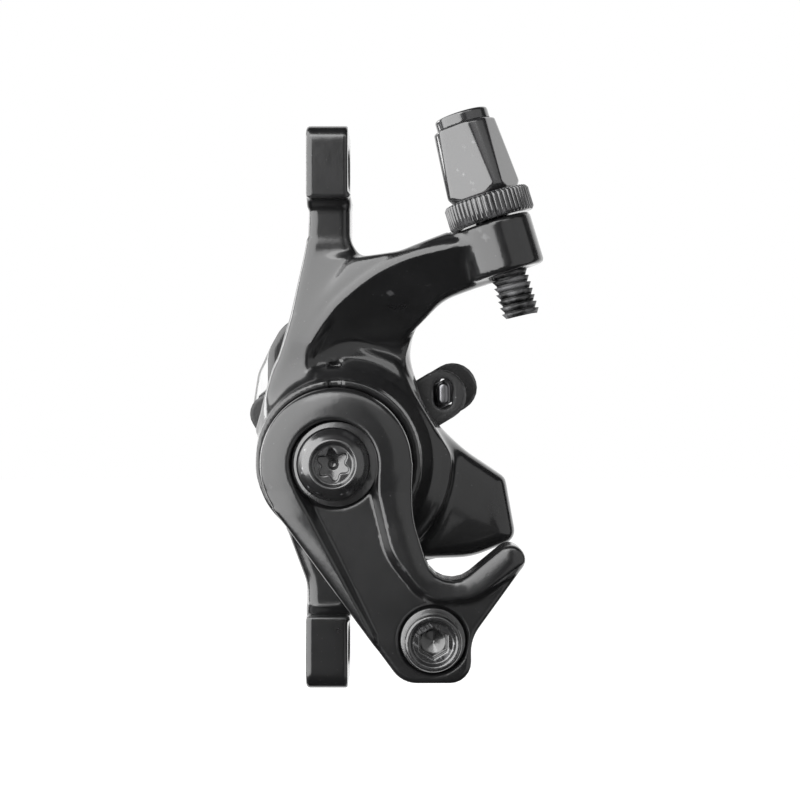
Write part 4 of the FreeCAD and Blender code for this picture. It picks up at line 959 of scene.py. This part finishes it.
tonguePiece = fieldPiece("springTongue", tongueField, (12, 3.2, -4), (28, 9.6, 9), tongueShape["step"],
                         springSteel)
softened("nearPadBlock", "near_friction_block", frictionMix, "near_pad", "friction", softShape["block"])
softened("farPadBlock", "far_friction_block", frictionMix, "far_pad", "friction", softShape["block"])
softened("cableClamp", "cable_clamp_plate", blackSteel, "arm", "black_steel", softShape["washer"])
softened("boltWasher", "arm_washer", blackSteel, "arm", "black_steel", softShape["washer"])
softened("padKnob", "adjuster_knob", knobResin, "knob", "knob_plastic", softShape["knob"])
leafPiece = softened("leafSpring", "pad_spring", springSteel, "caliper", "spring_steel", softShape["spring"])
belongs(tonguePiece, "caliper", "spring_steel", "pad_spring")

# The leaf spring is cut at its fold into two halves, each capped at the cut; both stay with the caliper

springShape = {"fold": 10.5, "keep": 0.5}


def keepHalf(piece, side):
    shell = bmesh.new()
    shell.from_mesh(piece.data)
    cut = bmesh.ops.bisect_plane(shell, geom=shell.verts[:] + shell.edges[:] + shell.faces[:],
                                 plane_co=(0, springShape["fold"] * mm, 0), plane_no=(0, side, 0),
                                 clear_outer=True)
    bmesh.ops.holes_fill(shell, edges=[e for e in cut["geom_cut"] if isinstance(e, bmesh.types.BMEdge)])
    bmesh.ops.recalc_face_normals(shell, faces=shell.faces[:])
    shell.to_mesh(piece.data)
    shell.free()


farLeaf = bpy.data.objects.new("leafSpringFar", leafPiece.data.copy())
bpy.context.scene.collection.objects.link(farLeaf)
belongs(farLeaf, "caliper", "spring_steel", "pad_spring")
for piece, side, joint in ((leafPiece, 1, "piston_slide"), (farLeaf, -1, "plunger_slide")):
    keepHalf(piece, side)
    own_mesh(piece)

kept = {
    "ramp_spindle": turnedSteel, "spindle_bush": bushResin, "thrust_washer": turnedSteel,
    "dust_seal": sealRubber, "guide_pin": turnedSteel, "ramp_balls": ballSteel, "ball_cage": turnedSteel,
    "piston": turnedSteel, "return_spring": springSteel, "pad_plunger": turnedSteel,
    "knob_retainer": springSteel,
}
for node, material in kept.items():
    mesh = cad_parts[node].data
    mesh.materials.clear()
    mesh.materials.append(material)
print("pieces ready")


# Camera, stage and lights

def aimAt(thing, target):
    thing.rotation_euler = (Vector(target) - thing.location).to_track_quat("-Z", "Y").to_euler()


photoView = {"place": (0.0142, -0.2695, 0.00105), "lens": 78.075, "sensor": 36}
cameraData = bpy.data.cameras.new("photoCamera")
cameraData.lens = photoView["lens"]
cameraData.sensor_width = photoView["sensor"]
cameraData.clip_start = 0.01
camera = bpy.data.objects.new("photoCamera", cameraData)
camera.location = photoView["place"]
camera.rotation_euler = (math.pi / 2, 0, 0)
bpy.context.scene.collection.objects.link(camera)
bpy.context.scene.camera = camera

room = {"seen": 1.0, "unseen": 0.35}    # brightness to the camera and in reflections, and as light
world = bpy.data.worlds.new("paleRoom")
bpy.context.scene.world = world
world.use_nodes = True
tree = world.node_tree
paths = addNode(tree, "ShaderNodeLightPath")
seen = mathNode(tree, "MAXIMUM", paths.outputs["Is Camera Ray"], paths.outputs["Is Glossy Ray"])
seen = mathNode(tree, "MAXIMUM", seen, paths.outputs["Is Transmission Ray"])
back = tree.nodes["Background"]
back.inputs["Color"].default_value = (1, 1, 1, 1)
strength = mathNode(tree, "MULTIPLY_ADD", seen, room["seen"] - room["unseen"], room["unseen"])
tree.links.new(strength, back.inputs["Strength"])

lights = {
    "keyBox": {"place": (-0.397, -0.299, 0.152), "size": (1.10, 0.85), "power": 10.8},
    "topBox": {"place": (0.05, -0.40, 0.36), "size": (0.50, 0.14), "power": 0.5},
    "fillBox": {"place": (0.443, -0.326, 0.03), "size": (0.84, 0.70), "power": 1.0},
    "rimBox": {"place": (-0.58, 0.39, 0.07), "size": (0.20, 0.40), "power": 1.1},
}
for name, values in lights.items():
    lampData = bpy.data.lights.new(name, "AREA")
    lampData.shape = "RECTANGLE"
    lampData.size, lampData.size_y = values["size"]
    lampData.energy = values["power"]
    lamp = bpy.data.objects.new(name, lampData)
    lamp.location = values["place"]
    aimAt(lamp, (0.01, 0, 0))
    bpy.context.scene.collection.objects.link(lamp)


def stageMesh(name, points, faces, material):
    mesh = bpy.data.meshes.new(name)
    mesh.from_pydata(points, [], faces)
    mesh.materials.append(material)
    piece = bpy.data.objects.new(name, mesh)
    bpy.context.scene.collection.objects.link(piece)
    return piece


def plainFinish(name, shade, rough):
    material = bpy.data.materials.new(name)
    material.use_nodes = True
    inputs = material.node_tree.nodes["Principled BSDF"].inputs
    inputs["Base Color"].default_value = (shade, shade, shade, 1)
    inputs["Roughness"].default_value = rough
    inputs["Specular IOR Level"].default_value = 0.0
    return material, inputs


def floorFinish(shade, rough, glow):
    material, inputs = plainFinish("paleFloor", shade, rough)
    tree = material.node_tree
    inputs["Emission Color"].default_value = (1, 1, 1, 1)
    ways = addNode(tree, "ShaderNodeLightPath")
    tree.links.new(mathNode(tree, "MULTIPLY", ways.outputs["Is Camera Ray"], glow),
                   inputs["Emission Strength"])
    return material


floorShape = {"half": 3, "down": -0.15, "shade": 0.82, "rough": 0.9, "glow": 0.75}
floor = stageMesh("floorSheet", [(i * floorShape["half"], j * floorShape["half"], floorShape["down"])
                                 for i, j in ((-1, -1), (1, -1), (1, 1), (-1, 1))], [(0, 1, 2, 3)],
                  floorFinish(floorShape["shade"], floorShape["rough"], floorShape["glow"]))
floor.visible_glossy = False


# Dark shell in front of and below the caliper, which only its reflections see

def darkShell(radius=0.95, reach=118, rows=14, around=48, shade=0.004, rough=1.0):
    points, faces = [], []
    for i in range(rows + 1):
        t = math.radians(reach * i / rows)
        for k in range(around):
            a = 2 * math.pi * k / around
            ring = radius * math.sin(t)
            points.append((ring * math.cos(a), -radius * math.cos(t), ring * math.sin(a)))
    for i in range(rows):
        for k in range(around):
            n = (k + 1) % around
            low, high = i * around, (i + 1) * around
            faces.append((low + k, low + n, high + n, high + k))
    shell = stageMesh("darkShell", points, faces, plainFinish("darkCard", shade, rough)[0])
    shell.visible_camera = False
    shell.visible_shadow = False
    shell.visible_diffuse = False


darkShell()

scene = bpy.context.scene
scene.view_settings.view_transform = "Standard"

print("scene ready")
